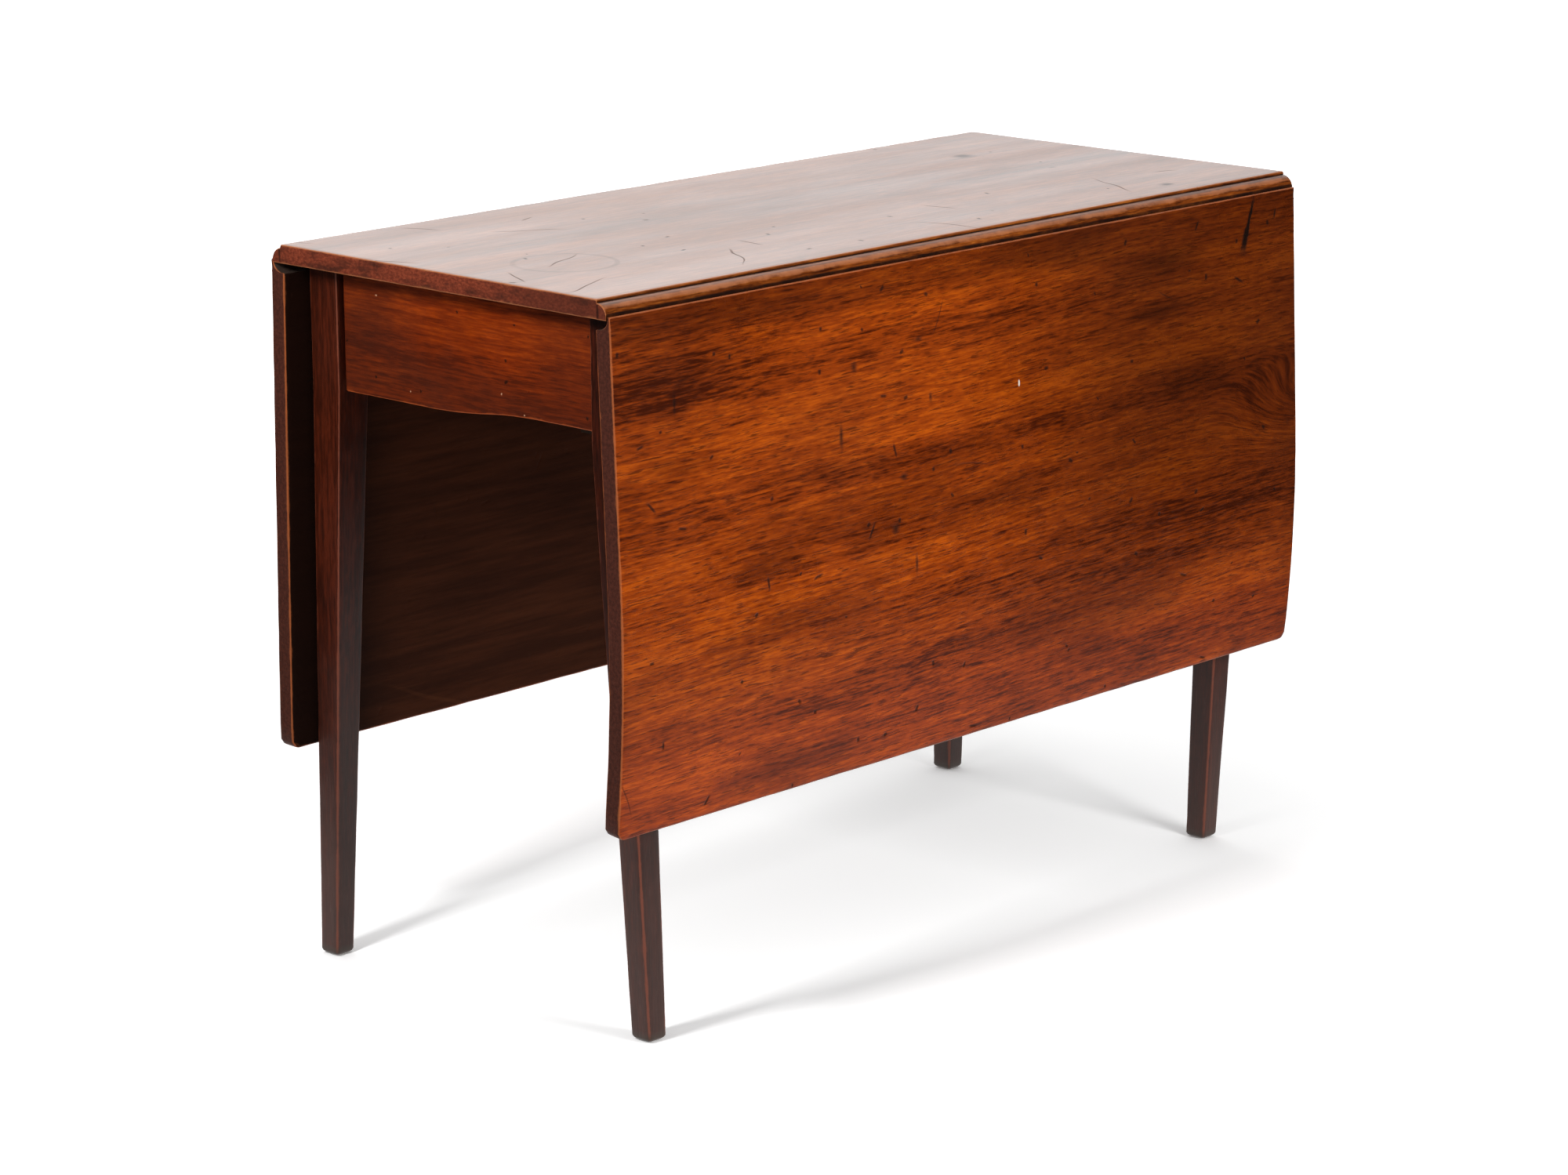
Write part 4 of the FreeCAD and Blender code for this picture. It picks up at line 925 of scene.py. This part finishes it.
iron = iron_finish()
for side in ("front", "rear"):
    for label in ("knuckle_pin", "rail_screws", "hinge_top_screws", "hinge_leaf_screws"):
        dress(frame["nodes"][f"{side}_{label}"], iron)
    for number in HINGE_NUMBERS:
        for part in ("top_plate", "leaf_plate"):
            dress(soften(f"{side}_hinge_{part}_{number}", 0.0003), iron)
        dress(frame["nodes"][f"{side}_hinge_pin_{number}"], iron)
dress(frame["nodes"]["top_fixing_screws"], iron)

# ---------------------------------------------------------------- studio
# A pale floor that runs out of sight, a soft light on each side of the camera and a bright
# backdrop whose sheen lies along the centre board.
FLOOR_SIZE = 40.0
floor_mesh = bpy.data.meshes.new("floor")
bm = bmesh.new()
bmesh.ops.create_grid(bm, x_segments=1, y_segments=1, size=FLOOR_SIZE / 2)
bm.to_mesh(floor_mesh)
bm.free()
floor = bpy.data.objects.new("floor", floor_mesh)
bpy.context.scene.collection.objects.link(floor)
floor.location.z = -0.0005
floor_material, floor_tree, floor_surface, floor_place = new_material("pale_floor")
seen_by = node(floor_tree, "LightPath").outputs
away = node(floor_tree, "VectorMath", {0: floor_place["Object"]}, operation="LENGTH").outputs["Value"]
white = between(floor_tree, away, 0.9, 2.4, 0.10, 1.2)
paleness = blend(floor_tree, seen_by["Is Camera Ray"], (0.55, 0.55, 0.55, 1), (1.12, 1.12, 1.12, 1))
floor_tree.links.new(paleness, floor_surface.inputs["Base Color"])
floor_surface.inputs["Roughness"].default_value = 1.0
floor_surface.inputs["Specular IOR Level"].default_value = 0.0
floor_surface.inputs["Emission Color"].default_value = (1.0, 1.0, 1.0, 1)
floor_tree.links.new(times(floor_tree, white, seen_by["Is Camera Ray"]),
                     floor_surface.inputs["Emission Strength"])
mirrored = node(floor_tree, "Emission", {"Color": (1.0, 0.98, 0.96, 1),
                                         "Strength": between(floor_tree, away, 1.6, 0.5, 0.0, 0.6)})
floor_mix = node(floor_tree, "MixShader", {0: seen_by["Is Glossy Ray"], 1: floor_surface.outputs[0],
                                           2: mirrored.outputs[0]})
floor_tree.links.new(floor_mix.outputs[0], floor_tree.nodes["Material Output"].inputs["Surface"])
dress(floor, floor_material)

world = bpy.data.worlds.new("studio")
bpy.context.scene.world = world
world.use_nodes = True
sky = world.node_tree
background = sky.nodes["Background"]
direction = sky.nodes.new("ShaderNodeTexCoord").outputs["Generated"]
behind = vectors(sky, "DOT_PRODUCT", direction, (0.67, 0.73, 0.1)).outputs["Value"]
backdrop = between(sky, behind, 0.5, 0.94, 0.0, 2.1)
room_side = between(sky, behind, -0.5, -0.94, 0.0, 1.2)
sheen = maths(sky, "ADD", backdrop, room_side)
paths = node(sky, "LightPath").outputs
ambient = between(sky, behind, -0.2, 0.9, 0.30, 0.7)
level = blend(sky, paths["Is Glossy Ray"], ambient, sheen)
level = maths(sky, "MULTIPLY_ADD", paths["Is Camera Ray"], 0.8, level)
sky.links.new(level, background.inputs["Strength"])
background.inputs["Color"].default_value = (1.0, 1.0, 1.0, 1)


def softbox(name, place, target, size, power):
    light = bpy.data.lights.new(name, "AREA")
    light.shape = "RECTANGLE"
    light.size, light.size_y = size
    light.energy = power
    lamp = bpy.data.objects.new(name, light)
    lamp.location = place
    lamp.rotation_euler = (Vector(target) - Vector(place)).to_track_quat("-Z", "Y").to_euler()
    lamp.visible_glossy = False
    bpy.context.scene.collection.objects.link(lamp)


softbox("left_softbox", place=(-1.75, -0.06, 1.5), target=(-0.3, 0, 0.4), size=(0.3, 0.4), power=25.0)
softbox("right_softbox", place=(0.1, -2.5, 1.3), target=(0, 0, 0.4), size=(0.9, 0.9), power=42.0)
softbox("overhead", place=(0.4, 0.6, 3.0), target=(0, 0, 0.5), size=(2.4, 2.4), power=30.0)

camera_data = bpy.data.cameras.new("camera")
camera_data.sensor_width = 36.0
camera_data.lens = 102.27
camera_data.clip_end = 100.0
camera = bpy.data.objects.new("camera", camera_data)
bpy.context.scene.collection.objects.link(camera)
AZIMUTH, ELEVATION, ROLL = math.radians(-46.386), math.radians(14.087), math.radians(-0.281)
backward = Vector((math.sin(AZIMUTH) * math.cos(ELEVATION), -math.cos(AZIMUTH) * math.cos(ELEVATION),
                   math.sin(ELEVATION)))
turn = backward.to_track_quat("Z", "Y")
camera.rotation_euler = (turn.to_matrix().to_4x4()).to_euler()
camera.location = (-3.2196, -3.0358, 1.4359)
camera.rotation_euler.rotate_axis("Z", ROLL)
bpy.context.scene.camera = camera
bpy.context.scene.view_settings.view_transform = "Standard"
